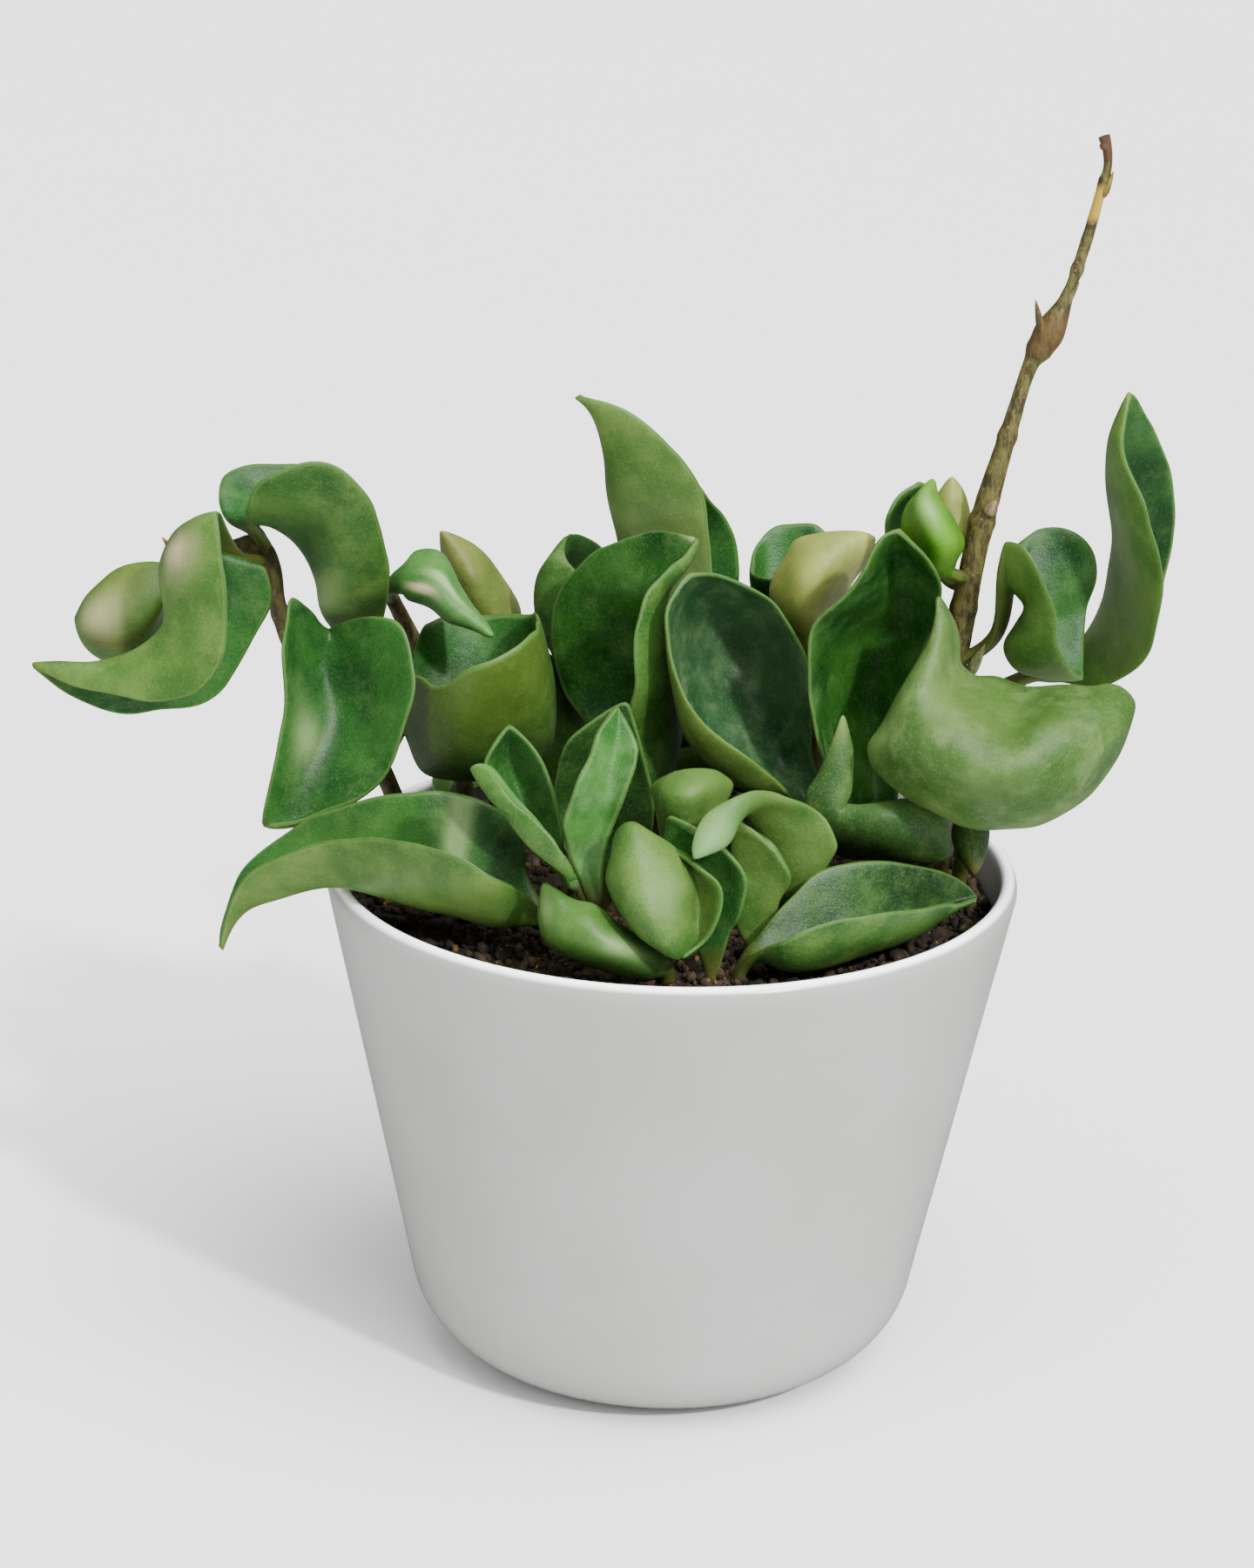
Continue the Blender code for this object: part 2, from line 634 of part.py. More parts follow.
        "rows": [
            [(40, 8, 152), (43, 11, 151), (46, 12, 152)],
            [(38, 5, 158), (42, 12, 156), (48, 14, 158)],
            [(38, 4, 164), (42, 11, 161), (48, 14, 164)],
        ],
        "tip": (44, 8, 169),
    },
    "curl_leaf": {
        "seat": ("vine_stem", (51, 6, 135)),
        "petiole": [(59, 4, 141)],
        "rows": [
            [(62, 9, 157), (61, 2, 153), (58, -5, 161)],
            [(67, 11, 160), (61, 3, 152), (62, -9, 162)],
            [(74, 10, 159), (65, 3, 148), (65, -11, 157)],
            [(78, 8, 153), (63, 2, 144), (68, -11, 151)],
            [(76, 7, 146), (61, 1, 140), (69, -10, 145)],
            [(75, 4, 140), (64, 0, 136), (71, -8, 140)],
        ],
        "tip": (75, -1, 135),
    },
    "tall_right_leaf": {
        "seat": ("vine_stem", (51, 6, 127)),
        "petiole": [(61, 10, 129), (67, 12, 131)],
        "rows": [
            [(73, 10, 130), (70, 13, 131), (73, 17, 131)],
            [(80, 3, 132), (77, 17, 136), (83, 23, 135)],
            [(86, -5, 140), (81, 20, 143), (90, 25, 140)],
            [(88, -7, 150), (82, 20, 152), (93, 24, 147)],
            [(87, -7, 160), (81, 16, 161), (93, 20, 159)],
            [(84, -6, 169), (79, 10, 172), (91, 15, 170)],
            [(80, -2, 178), (79, 5, 180), (87, 9, 179)],
        ],
        "tip": (81, 3, 188),
    },
    "flap_leaf": {
        "petiole": [(46, -9, 82), (46, -9, 95), (47, -12, 102)],
        "rows": [
            [(49, -17, 112), (50, -19, 109), (50, -16, 104)],
            [(45, -19, 117), (44, -23, 112), (44, -18, 104)],
            [(37, -22, 117), (37, -25, 113), (37, -19, 105)],
            [(31, -20, 116), (30, -23, 113), (29, -19, 106)],
            [(32, -20, 119), (28, -22, 117), (23, -21, 114)],
            [(32, -18, 125), (29, -20, 123), (26, -19, 121)],
        ],
        "tip": (30, -17, 132),
    },
    "dry_tip_leaf": {
        "petiole": [(53, -3, 84), (54, -3, 96), (55, -5, 107)],
        "rows": [
            [(52, -8, 109), (55, -10, 110), (58, -7, 108)],
            [(52, -10, 105), (55, -13, 106), (58, -9, 104)],
        ],
        "tip": (56, -13, 100),
    },
    "front_right_leaf": {
        "petiole": [(12, -43, 82), (12, -44, 92)],
        "rows": [
            [(14, -43, 98), (15, -46, 96), (15, -49, 98)],
            [(19, -40, 103), (20, -46, 94), (20, -53, 102)],
            [(25, -35, 108), (27, -43, 94), (26, -52, 105)],
            [(33, -32, 109), (35, -38, 95), (35, -49, 106)],
            [(44, -27, 107), (44, -31, 96), (43, -42, 104)],
            [(51, -22, 103), (50, -24, 97), (50, -31, 101)],
        ],
        "tip": (56, -21, 98),
    },
    "dried_sheath": {
        "petiole": [(26, 8, 82), (26, 6, 100), (24, 3, 120)],
        "rows": [
            [(22, 2, 128), (24, 1, 128), (26, 2, 128)],
            [(23, 3, 134), (25, 2, 134), (27, 3, 134)],
        ],
        "tip": (28, 4, 142),
    },
}
DRY_LEAVES = ["dried_sheath"]

# Leaves round the back, each the form of a front leaf turned about the pot, resized and moved:
# name, leaf it follows, turn in degrees, size, then the shift in millimetres
BACK_LEAVES = [
    ("back_right_leaf", "front_right_leaf", 110, 0.95, (-2, -2, 0)),
    ("back_middle_leaf", "oval_leaf", 165, 0.65, (12, 34, 0)),
    ("back_left_leaf", "base_leaf", 235, 1.2, (2, -2, 0)),
    ("upright_back_leaf", "shaded_leaf", 190, 0.93, (-34, 7, 0)),
]


def turned_leaf(follows, degrees, size, shift):
    """A front leaf's petiole, rows and tip, turned and moved, planted by the same root depth."""
    turn = Matrix.Rotation(math.radians(degrees), 3, "Z")
    ground = Vector((0, 0, SOIL_LEVEL / MM))
    shift = Vector(shift)

    def moved(point):
        return turn @ ((Vector(point) - ground) * size) + ground + shift

    leaf = LEAVES[follows]
    return {
        "petiole": [moved(point) for point in leaf["petiole"]],
        "rows": [[moved(point) for point in row] for row in leaf["rows"]],
        "tip": moved(leaf["tip"]),
    }


def leaf_lines(leaf):
    """The lengthwise lines from petiole to tip, how far along each point lies, and the blade's first row."""
    rows = [in_metres(row) for row in leaf["rows"]]
    petiole = in_metres(leaf["petiole"])
    stem, near = leaf.get("seat", (None, leaf["petiole"][0]))
    start = Vector(near) * MM
    run = (petiole[-1] - start).normalized()
    side = rows[0][-1] - rows[0][0]
    side = (side - run * side.dot(run)).normalized()
    if stem:
        petiole.insert(0, stem_seat(stem, start, petiole[0], side))
    count = len(rows[0])
    stalk_rows = []
    for point in petiole:
        places = [PETIOLE_WIDTH * (i / (count - 1) - 0.5) for i in range(count)]
        stalk_rows.append([point + side * place for place in places])
    every = stalk_rows + rows + [[Vector(leaf["tip"]) * MM] * count]
    middles = [row[count // 2] for row in every]
    return list(zip(*every)), distances(middles), len(petiole)


def build_leaf(name, leaf, skins):
    lines, knots, blade_row = leaf_lines(leaf)
    steps = 2 * (len(knots) - 1)
    across = [2 * i / (len(lines) - 1) - 1 for i in range(len(lines))]
    bm = bmesh.new()
    bmesh.ops.create_grid(bm, x_segments=BLADE_COLUMNS, y_segments=steps, size=1)
    thick = []
    for vert in bm.verts:
        u = vert.co.x
        at = (vert.co.y + 1) / 2 * (len(knots) - 1)
        low = min(int(at), len(knots) - 2)
        place = knots[low] + (at - low) * (knots[low + 1] - knots[low])
        cross_row = [along(line, knots, place) for line in lines]
        vert.co = along(cross_row, across, u)
        blade = min(max(at - blade_row + 1, 0), 1)
        thinning = 1 - (1 - TIP_THINNING) * max(0, at - len(knots) + 2)
        thick.append(((1 - blade) + blade * BLADE_THICKNESS / PETIOLE_THICKNESS) * thinning)
    bmesh.ops.triangulate(bm, faces=bm.faces, quad_method="FIXED")
    bm.verts.index_update()
    leaf_object = add_object(name, bm, *skins)
    group = leaf_object.vertex_groups.new(name="thickness")
    for index, weight in enumerate(thick):
        group.add([index], weight, "REPLACE")
    weld = leaf_object.modifiers.new("tip", "WELD")
    weld.merge_threshold = TIP_WELD
    skin = leaf_object.modifiers.new("blade", "SOLIDIFY")
    skin.thickness = PETIOLE_THICKNESS
    skin.offset = 0
    skin.vertex_group = group.name
    skin.material_offset = 1
    skin.material_offset_rim = 1
    leaf_object.data.shade_smooth()
    if "seat" not in leaf:
        middle = lines[len(lines) // 2]
        reach = math.hypot(PETIOLE_WIDTH, PETIOLE_THICKNESS) / 2
        root_hole(middle[0], along(middle, knots, ROOT_DEPTH), reach)


for stem_name in STEMS:
    build_stem(stem_name)
for leaf_name, leaf_form in LEAVES.items():
    dry = leaf_name in DRY_LEAVES
    build_leaf(leaf_name, leaf_form, (DRY_LEAF, DRY_LEAF) if dry else (LEAF_TOP, LEAF_UNDER))
for leaf_name, follows, degrees, size, shift in BACK_LEAVES:
    build_leaf(leaf_name, turned_leaf(follows, degrees, size, shift), (LEAF_TOP, LEAF_UNDER))
build_pot()
build_soil(ROOT_HOLES)
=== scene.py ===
"""A hindu rope plant in its white pot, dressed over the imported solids.

Lengths are in metres with +Z up, but stem and leaf points are in millimetres. The plant is seen from the
front along +Y. The sections follow it as it is potted up: pot, soil, stems, leaves, then the studio.
"""

import math
import random

import bmesh
import bpy
from mathutils import Euler, Matrix, Vector, noise


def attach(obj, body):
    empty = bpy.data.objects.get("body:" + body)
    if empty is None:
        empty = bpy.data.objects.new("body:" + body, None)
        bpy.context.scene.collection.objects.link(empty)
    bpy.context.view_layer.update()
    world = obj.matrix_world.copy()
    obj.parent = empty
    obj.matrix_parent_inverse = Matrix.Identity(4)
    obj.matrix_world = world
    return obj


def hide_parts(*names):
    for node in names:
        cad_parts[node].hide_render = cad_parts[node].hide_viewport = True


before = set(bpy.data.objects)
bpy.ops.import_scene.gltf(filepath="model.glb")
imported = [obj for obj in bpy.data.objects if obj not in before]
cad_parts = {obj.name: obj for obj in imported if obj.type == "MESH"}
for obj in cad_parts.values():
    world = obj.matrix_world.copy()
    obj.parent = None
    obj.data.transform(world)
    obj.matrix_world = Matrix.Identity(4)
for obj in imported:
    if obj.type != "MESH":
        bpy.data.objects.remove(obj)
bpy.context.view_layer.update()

# The pot is slip-cast earthenware with a satin white glaze inside and out. Its thin wall tapers to a softly
# rounded foot and ends in a rolled lip. The glaze pools slightly, so the wall isn't perfectly even.
RIM_RADIUS = 0.065
POT_HEIGHT = 0.097
FOOT_RADIUS = 0.0456
FOOT_ROUNDING = 0.0178
WALL = 0.0035
FLOOR = 0.005
FLOOR_EASING = 0.004
LIP_RISE = 0.003
POT_SIDES = 144
GLAZE_WAVER = 0.00006
STUDIO_LIGHT = 1.95
LIP_HIGHLIGHT_BAND = 0.0012


def side_radius(height):
    side_height = POT_HEIGHT - LIP_RISE
    return RIM_RADIUS - (RIM_RADIUS - FOOT_RADIUS) * (side_height - height) / side_height


def foot_arc(inset, steps):
    """The rounding from the flat underside up to the straight side, drawn inwards by an inset."""
    slope = math.atan2(POT_HEIGHT - LIP_RISE, RIM_RADIUS - FOOT_RADIUS)
    reach = FOOT_ROUNDING / math.tan((math.pi - slope) / 2)
    radius = FOOT_ROUNDING - inset
    arc = []
    for i in range(steps + 1):
        angle = -math.pi / 2 + slope * i / steps
        across = FOOT_RADIUS - reach + radius * math.cos(angle)
        arc.append((across, FOOT_ROUNDING + radius * math.sin(angle)))
    return arc


def turned_profile(profile, sides):
    """A closed solid turned about Z from an outline of (radius, height) that starts and ends on the axis."""
    bm = bmesh.new()
    points = [bm.verts.new((radius, 0, height)) for radius, height in profile]
    edges = [bm.edges.new(pair) for pair in zip(points, points[1:])]
    bmesh.ops.spin(
        bm,
        geom=points + edges,
        axis=(0, 0, 1),
        cent=(0, 0, 0),
        angle=math.tau,
        steps=sides,
        use_merge=True,
    )
    bmesh.ops.remove_doubles(bm, verts=bm.verts, dist=1e-6)
    bmesh.ops.recalc_face_normals(bm, faces=bm.faces)
    return bm


def add_piece(name, bm, materials, solids=()):
    """Puts a finished mesh on the plant, with the solids that it stands for."""
    mesh = bpy.data.meshes.new(name)
    bm.to_mesh(mesh)
    bm.free()
    piece = bpy.data.objects.new(name, mesh)
    for each in materials:
        mesh.materials.append(each)
    mesh.shade_smooth()
    bpy.context.collection.objects.link(piece)
    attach(piece, "root")
    if solids:
        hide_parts(*solids)
    return piece


def screen(red, green, blue):
    """The linear colour of a surface that shows as these values, 0 to 255, in the studio's light.

    Bright colours come out duller and paler on the screen than they are, which is made up for here.
    """
    parts = [value / 255 for value in (red, green, blue)]
    linear = [part / 12.92 if part <= 0.04045 else ((part + 0.055) / 1.055) ** 2.4 for part in parts]
    grey = 0.21 * linear[0] + 0.72 * linear[1] + 0.07 * linear[2]
    lift = (1.0 + 6.5 * grey**3.8) / STUDIO_LIGHT
    strength = (1.1 + 16 * grey**4) / STUDIO_LIGHT
    return (*[max(part / 6, grey * lift + (part - grey) * strength) for part in linear], 1)


def add_node(tree, kind, inputs=None, **settings):
    """A new shader node with its settings, and with values or links for its inputs."""
    node = tree.nodes.new(kind)
    for name, value in settings.items():
        setattr(node, name, value)
    for name, value in (inputs or {}).items():
        if isinstance(value, bpy.types.NodeSocket):
            tree.links.new(value, node.inputs[name])
        else:
            node.inputs[name].default_value = value
    return node


def new_material(name):
    """An empty Principled material, as (material, its node tree, its shader)."""
    made = bpy.data.materials.new(name)
    made.use_nodes = True
    return made, made.node_tree, made.node_tree.nodes["Principled BSDF"]


def blend(tree, factor, first, second, mode="MIX"):
    """The colour output of a node that lays the second colour over the first."""
    mix = add_node(tree, "ShaderNodeMix", data_type="RGBA", blend_type=mode)
    for socket, value in zip((mix.inputs["Factor"], mix.inputs[6], mix.inputs[7]), (factor, first, second)):
        if isinstance(value, bpy.types.NodeSocket):
            tree.links.new(value, socket)
        else:
            socket.default_value = value
    return mix.outputs[2]


def span(tree, value, low, high, start=0.0, end=1.0):
    """The output of a node that carries low..high to start..end, smoothly."""
    inputs = {"Value": value, "From Min": low, "From Max": high, "To Min": start, "To Max": end}
    ranged = add_node(tree, "ShaderNodeMapRange", inputs, interpolation_type="SMOOTHSTEP")
    return ranged.outputs["Result"]


def glaze_material():
    """Satin white glaze: faint clouding, a fine tooth, and a painted highlight, a whiter band along the top of the
    lip.
    """
    made, tree, shader = new_material("satin_white_glaze")
    place = add_node(tree, "ShaderNodeTexCoord").outputs["Object"]
    clouds = add_node(tree, "ShaderNodeTexNoise", {"Vector": place, "Scale": 30, "Detail": 4})
    tooth = add_node(tree, "ShaderNodeTexNoise", {"Vector": place, "Scale": 1400, "Detail": 2})
    colour = blend(tree, span(tree, clouds.outputs["Fac"], 0.3, 0.7), screen(184, 184, 182), screen(188, 188, 187))
    height = add_node(tree, "ShaderNodeSeparateXYZ", {"Vector": place}).outputs["Z"]
    # Painted highlight: the top of the lip is made whiter, standing in for the overhead light that it catches.
    painted_lip_highlight = span(tree, height, POT_HEIGHT - LIP_HIGHLIGHT_BAND, POT_HEIGHT)
    colour = blend(tree, painted_lip_highlight, colour, screen(232, 233, 234))
    tree.links.new(colour, shader.inputs["Base Color"])
    tree.links.new(span(tree, clouds.outputs["Fac"], 0.3, 0.7, 0.22, 0.3), shader.inputs["Roughness"])
    bump = add_node(tree, "ShaderNodeBump", {"Height": tooth.outputs["Fac"], "Strength": 0.25, "Distance": 0.00005})
    tree.links.new(bump.outputs["Normal"], shader.inputs["Normal"])
    return made


def build_pot():
    lip_middle = RIM_RADIUS - WALL / 2
    lip = []
    for i in range(13):
        angle = math.pi * i / 12
        height = POT_HEIGHT - LIP_RISE * (1 - math.sin(angle))
        lip.append((lip_middle + WALL / 2 * math.cos(angle), height))
    outside = foot_arc(0, 14)
    low, high = outside[-1][1], lip[0][1]
    side = []
    for i in range(1, 24):
        height = low + (high - low) * i / 24
        side.append((side_radius(height), height))
    inside = [(radius, height) for radius, height in foot_arc(WALL, 10)[::-1] if height > FLOOR]
    floor_edge = inside[-1][0] - FLOOR_EASING
    profile = [(0, 0)] + outside + side + lip + inside + [(floor_edge, FLOOR), (0, FLOOR)]
    bm = turned_profile(profile, POT_SIDES)
    for vert in bm.verts:
        if FOOT_ROUNDING < vert.co.z < POT_HEIGHT - LIP_RISE:
            vert.co -= Vector((vert.co.x, vert.co.y, 0)).normalized() * GLAZE_WAVER * (
                1 + noise.noise(vert.co * 40)
            )
    return add_piece("glazed_pot", bm, [glaze_material()], ["pot"])


build_pot()


# The soil is dark peat with bark chips, filled in loosely to a few millimetres under the lip. Its top is
# lumpy, with loose crumbs of many sizes and some golden flecks, and the pot's wall holds it.
SOIL_LEVEL = 0.0905
SOIL_GAP = 0.0003
SOIL_ROUGHNESS = 0.0016
SOIL_SIDES = 200
SOIL_RINGS = 90
CRUMB_COUNT = 4200
CRUMB_SIZES = (0.0004, 0.0019)
FLECK_COUNT = 420
FLECK_SIZES = (0.0003, 0.0009)
NOISE_SEED = 5


def soil_height(x, y):
    """How high the loose top of the soil is at one place."""
    spot = Vector((x, y, 0))
    clods = noise.noise(spot * 130) + 0.5 * noise.noise(spot * 420) + 0.35 * noise.noise(spot * 900)
    return SOIL_LEVEL + SOIL_ROUGHNESS * 0.6 * clods


def soil_material(name, dark, light, chips):
    """Moist crumbs: near-black, with warmer dry faces and a few pale chips."""
    made, tree, shader = new_material(name)
    place = add_node(tree, "ShaderNodeTexCoord").outputs["Object"]
    damp = add_node(tree, "ShaderNodeTexNoise", {"Vector": place, "Scale": 240, "Detail": 6, "Roughness": 0.7})
    grain = add_node(tree, "ShaderNodeTexNoise", {"Vector": place, "Scale": 1500, "Detail": 4})
    chip = add_node(tree, "ShaderNodeTexVoronoi", {"Vector": place, "Scale": 520})
    colour = blend(tree, span(tree, damp.outputs["Fac"], 0.42, 0.68), dark, light)
    colour = blend(tree, span(tree, chip.outputs["Distance"], 0.16, 0.1), colour, chips)
    tree.links.new(colour, shader.inputs["Base Color"])
    shader.inputs["Roughness"].default_value = 0.85
    bump = add_node(tree, "ShaderNodeBump", {"Height": grain.outputs["Fac"], "Strength": 0.8, "Distance": 0.0004})
    tree.links.new(bump.outputs["Normal"], shader.inputs["Normal"])
    return made


def build_soil():
    bottom = FOOT_ROUNDING
    inner = side_radius(bottom) - WALL - SOIL_GAP * 3
    top = side_radius(SOIL_LEVEL) - WALL - SOIL_GAP * 2
    profile = [(0, bottom), (inner, bottom), (top, SOIL_LEVEL - SOIL_ROUGHNESS)]
    edge = top - SOIL_GAP * 2
    for i in range(SOIL_RINGS):
        profile.append((edge * (1 - i / SOIL_RINGS), SOIL_LEVEL))
    profile.append((0, SOIL_LEVEL))
    bm = turned_profile(profile, SOIL_SIDES)
    for vert in bm.verts:
        if vert.co.z > SOIL_LEVEL - 1e-5:
            vert.co.z = soil_height(vert.co.x, vert.co.y)
    peat = soil_material("moist_peat", screen(34, 27, 17), screen(84, 64, 42), screen(120, 90, 52))
    return add_piece("soil_body", bm, [peat], ["potting_soil"])


def scatter(name, count, sizes, seed, skin):
    """Loose crumbs over the top of the soil, more of them small, each a lumpy pebble turned its own way."""
    pick = random.Random(seed)
    bm = bmesh.new()
    reach = side_radius(SOIL_LEVEL) - WALL - sizes[1]
    for i in range(count):
        radius = reach * math.sqrt(pick.random())
        angle = math.tau * pick.random()
        x, y = radius * math.cos(angle), radius * math.sin(angle)
        size = sizes[0] + (sizes[1] - sizes[0]) * pick.random() ** 2.2
        turn = Euler([math.tau * pick.random() for _ in range(3)]).to_matrix().to_4x4()
        squeeze = Matrix.Diagonal((size, size * pick.uniform(0.6, 1), size * pick.uniform(0.5, 0.9), 1))
        place = Matrix.Translation((x, y, soil_height(x, y) + size * pick.uniform(0.0, 0.6)))
        lump = bmesh.ops.create_icosphere(bm, subdivisions=1, radius=1, matrix=place @ turn @ squeeze)
        for vert in lump["verts"]:
            vert.co += noise.noise_vector(vert.co * 900) * size * 0.45
    return add_piece(name, bm, [skin])


noise.seed_set(NOISE_SEED)
build_soil()
scatter(
    "soil_crumbs", CRUMB_COUNT, CRUMB_SIZES, 3,
    soil_material("dry_peat_crumbs", screen(40, 31, 20), screen(98, 74, 48), screen(138, 106, 64)),
)
scatter(
    "bark_flecks", FLECK_COUNT, FLECK_SIZES, 8,
    soil_material("golden_bark", screen(112, 80, 38), screen(160, 120, 62), screen(190, 152, 90)),
)


# The stems are round and half woody: olive bark mottled with brown, swollen rings where leaves have grown,
# and cork at the foot. They are planted in the soil, and the leaves' petioles grow out of them.
MM = 0.001
STEM_STEP = 0.0008
RING_SPACING = 0.0165
RING_SWELL = 0.00028
RING_LENGTH = 0.0011


def along(points, knots, place):
    """The smooth curve through the points, at one place among its knots."""
    last = len(points) - 1
    slopes = [None] * (last + 1)
    for i in range(1, last):
        slopes[i] = (points[i + 1] - points[i - 1]) / (knots[i + 1] - knots[i - 1])
    if last == 1:
        slopes[0] = slopes[1] = (points[1] - points[0]) / (knots[1] - knots[0])
    else:
        first_step = (points[1] - points[0]) / (knots[1] - knots[0])
        last_step = (points[last] - points[last - 1]) / (knots[last] - knots[last - 1])
        slopes[0] = 2 * first_step - slopes[1]
        slopes[last] = 2 * last_step - slopes[last - 1]
    i = 0
    while i < last - 1 and place > knots[i + 1]:
        i += 1
    step = knots[i + 1] - knots[i]
    t = (place - knots[i]) / step
    return (
        points[i] * (1 + 2 * t) * (1 - t) ** 2
        + slopes[i] * step * t * (1 - t) ** 2
        + points[i + 1] * t * t * (3 - 2 * t)
        + slopes[i + 1] * step * t * t * (t - 1)
    )


def distances(points):
    """How far along the straight steps each point lies."""
    run = [0.0]
    for before, after in zip(points, points[1:]):
        run.append(run[-1] + (after - before).length)
    return run


def in_metres(points):
    return [Vector(point) * MM for point in points]


def mottled_bark_group():
    """Bark shared by every stem: two tones in lengthwise mottling, with small corky spots."""
    group = bpy.data.node_groups.new("mottled_bark", "ShaderNodeTree")
    for name in ("Light", "Dark", "Cork"):
        group.interface.new_socket(name, in_out="INPUT", socket_type="NodeSocketColor")
    group.interface.new_socket("Color", in_out="OUTPUT", socket_type="NodeSocketColor")
    group.interface.new_socket("Height", in_out="OUTPUT", socket_type="NodeSocketFloat")
    given = group.nodes.new("NodeGroupInput").outputs
    place = add_node(group, "ShaderNodeTexCoord").outputs["Object"]
    drawn = add_node(group, "ShaderNodeMapping", {"Vector": place, "Scale": (1, 1, 0.35)}).outputs["Vector"]
    streaks = add_node(group, "ShaderNodeTexNoise", {"Vector": drawn, "Scale": 900, "Detail": 6, "Roughness": 0.7})
    spots = add_node(group, "ShaderNodeTexVoronoi", {"Vector": place, "Scale": 700})
    colour = blend(group, span(group, streaks.outputs["Fac"], 0.4, 0.6), given["Dark"], given["Light"])
    corky = span(group, spots.outputs["Distance"], 0.22, 0.12)
    result = group.nodes.new("NodeGroupOutput").inputs
    group.links.new(blend(group, corky, colour, given["Cork"]), result["Color"])
    group.links.new(streaks.outputs["Fac"], result["Height"])
    return group


MOTTLED_BARK = mottled_bark_group()


def bark_material(name, light, dark, cork, bands=()):
    """Stem bark, with optional bands of another colour between two heights."""
    made, tree, shader = new_material(name)
    bark = add_node(tree, "ShaderNodeGroup", node_tree=MOTTLED_BARK)
    for socket, value in (("Light", light), ("Dark", dark), ("Cork", cork)):
        bark.inputs[socket].default_value = value
    colour = bark.outputs["Color"]
    place = add_node(tree, "ShaderNodeTexCoord").outputs["Object"]
    height = add_node(tree, "ShaderNodeSeparateXYZ", {"Vector": place}).outputs["Z"]
    for middle, reach, tint, strength in bands:
        rising = span(tree, height, middle - reach, middle - reach / 2)
        falling = span(tree, height, middle + reach / 2, middle + reach, strength, 0)
        both = add_node(tree, "ShaderNodeMath", {0: rising, 1: falling}, operation="MULTIPLY").outputs[0]
        colour = blend(tree, both, colour, tint)
    tree.links.new(colour, shader.inputs["Base Color"])
    shader.inputs["Roughness"].default_value = 0.6
    bump = add_node(tree, "ShaderNodeBump", {"Height": bark.outputs["Height"], "Strength": 0.6, "Distance": 0.0002})
    tree.links.new(bump.outputs["Normal"], shader.inputs["Normal"])
    return made


def build_stem(name, solid, points, radii, bark, rings=True):
    """A round stem through the points, with a faint swollen ring at each old leaf joint."""
    points = in_metres(points)
    radii = [Vector((radius, 0, 0)) * MM for radius in radii]
    knots = distances(points)
    count = round(knots[-1] / STEM_STEP)
    curve = bpy.data.curves.new(name, "CURVE")
    curve.dimensions = "3D"
    curve.bevel_depth = 1.0
    curve.bevel_resolution = 6
    curve.use_fill_caps = True
    spline = curve.splines.new("POLY")
    spline.points.add(count - 1)
    for i, point in enumerate(spline.points):
        place = knots[-1] * i / (count - 1)
        spot = along(points, knots, place)
        from_ring = (place + RING_SPACING / 2) % RING_SPACING - RING_SPACING / 2
        swell = RING_SWELL * math.exp(-((from_ring / RING_LENGTH) ** 2)) if rings else 0
        rough = 1 + 0.05 * noise.noise(spot * 400)
        point.co = (*spot, 1)
        point.radius = along(radii, knots, place).x * rough + swell
    stem = bpy.data.objects.new(name, curve)
    curve.materials.append(bark)
    bpy.context.collection.objects.link(stem)
    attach(stem, "root")
    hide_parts(solid)
    return stem


STEMS = {
    "vine_stem": (
        [(51, 4, 80), (50, 5, 111), (51, 6, 128), (52, 6, 138), (54, 6, 153), (56, 7, 164)]
        + [(60, 8, 180), (63, 9, 191), (66, 9, 197), (69, 9, 204), (72, 10, 214), (74, 10, 223)]
        + [(75, 10, 228), (74, 10, 233)],
        [2.3, 2.4, 2.4, 2.6, 2.3, 2.3, 1.6, 1.5, 2.9, 1.2, 1.1, 0.9, 0.8, 1.1],
    ),
    "left_stem": (
        [(-48, 15, 81), (-50, 15, 92), (-55, 17, 106), (-62, 18, 118), (-69, 16, 127), (-73, 14, 134)]
        + [(-75, 12, 142), (-76, 11, 149), (-78, 11, 153), (-82, 11, 153), (-87, 11, 151), (-90, 12, 149)],
        [1.8, 1.8, 1.8, 1.8, 1.8, 1.7, 1.6, 1.9, 1.9, 1.5, 1.4, 1.4],
    ),
    "centre_stem": ([(-2, 10, 80), (-2, 11, 96), (-2, 12, 112), (-1, 13, 122)], [2.0, 1.9, 1.8, 1.5]),
    "left_back_stem": (
        [(-38, 27, 81), (-40, 28, 98), (-44, 28, 114), (-49, 26, 128), (-54, 22, 140), (-56, 19, 146)],
        [1.9, 1.8, 1.7, 1.6, 1.4, 1.1],
    ),
    "right_back_stem": ([(28, 16, 80), (28, 16, 98), (27, 17, 115), (28, 18, 128)], [1.9, 1.8, 1.7, 1.4]),
    "front_stem": ([(-14, -33, 81), (-14, -34, 93), (-14, -36, 100), (-14, -38, 104)], [1.7, 1.6, 1.6, 1.4]),
}
vine_bark = bark_material(
    "vine_bark", screen(126, 120, 64), screen(80, 68, 34), screen(144, 128, 84),
    [
        (0.132, 0.008, screen(84, 62, 44), 0.7),
        (0.197, 0.005, screen(120, 84, 44), 0.6),
        (0.221, 0.004, screen(206, 178, 84), 0.8),
        (0.231, 0.003, screen(104, 66, 42), 0.8),
    ],
)
young_bark = bark_material("young_stem_bark", screen(108, 104, 56), screen(84, 66, 36), screen(128, 104, 72))
for stem_name, (stem_points, stem_radii) in STEMS.items():
    bark = vine_bark if stem_name == "vine_stem" else young_bark
    build_stem(stem_name + "_bark", stem_name, stem_points, stem_radii, bark)


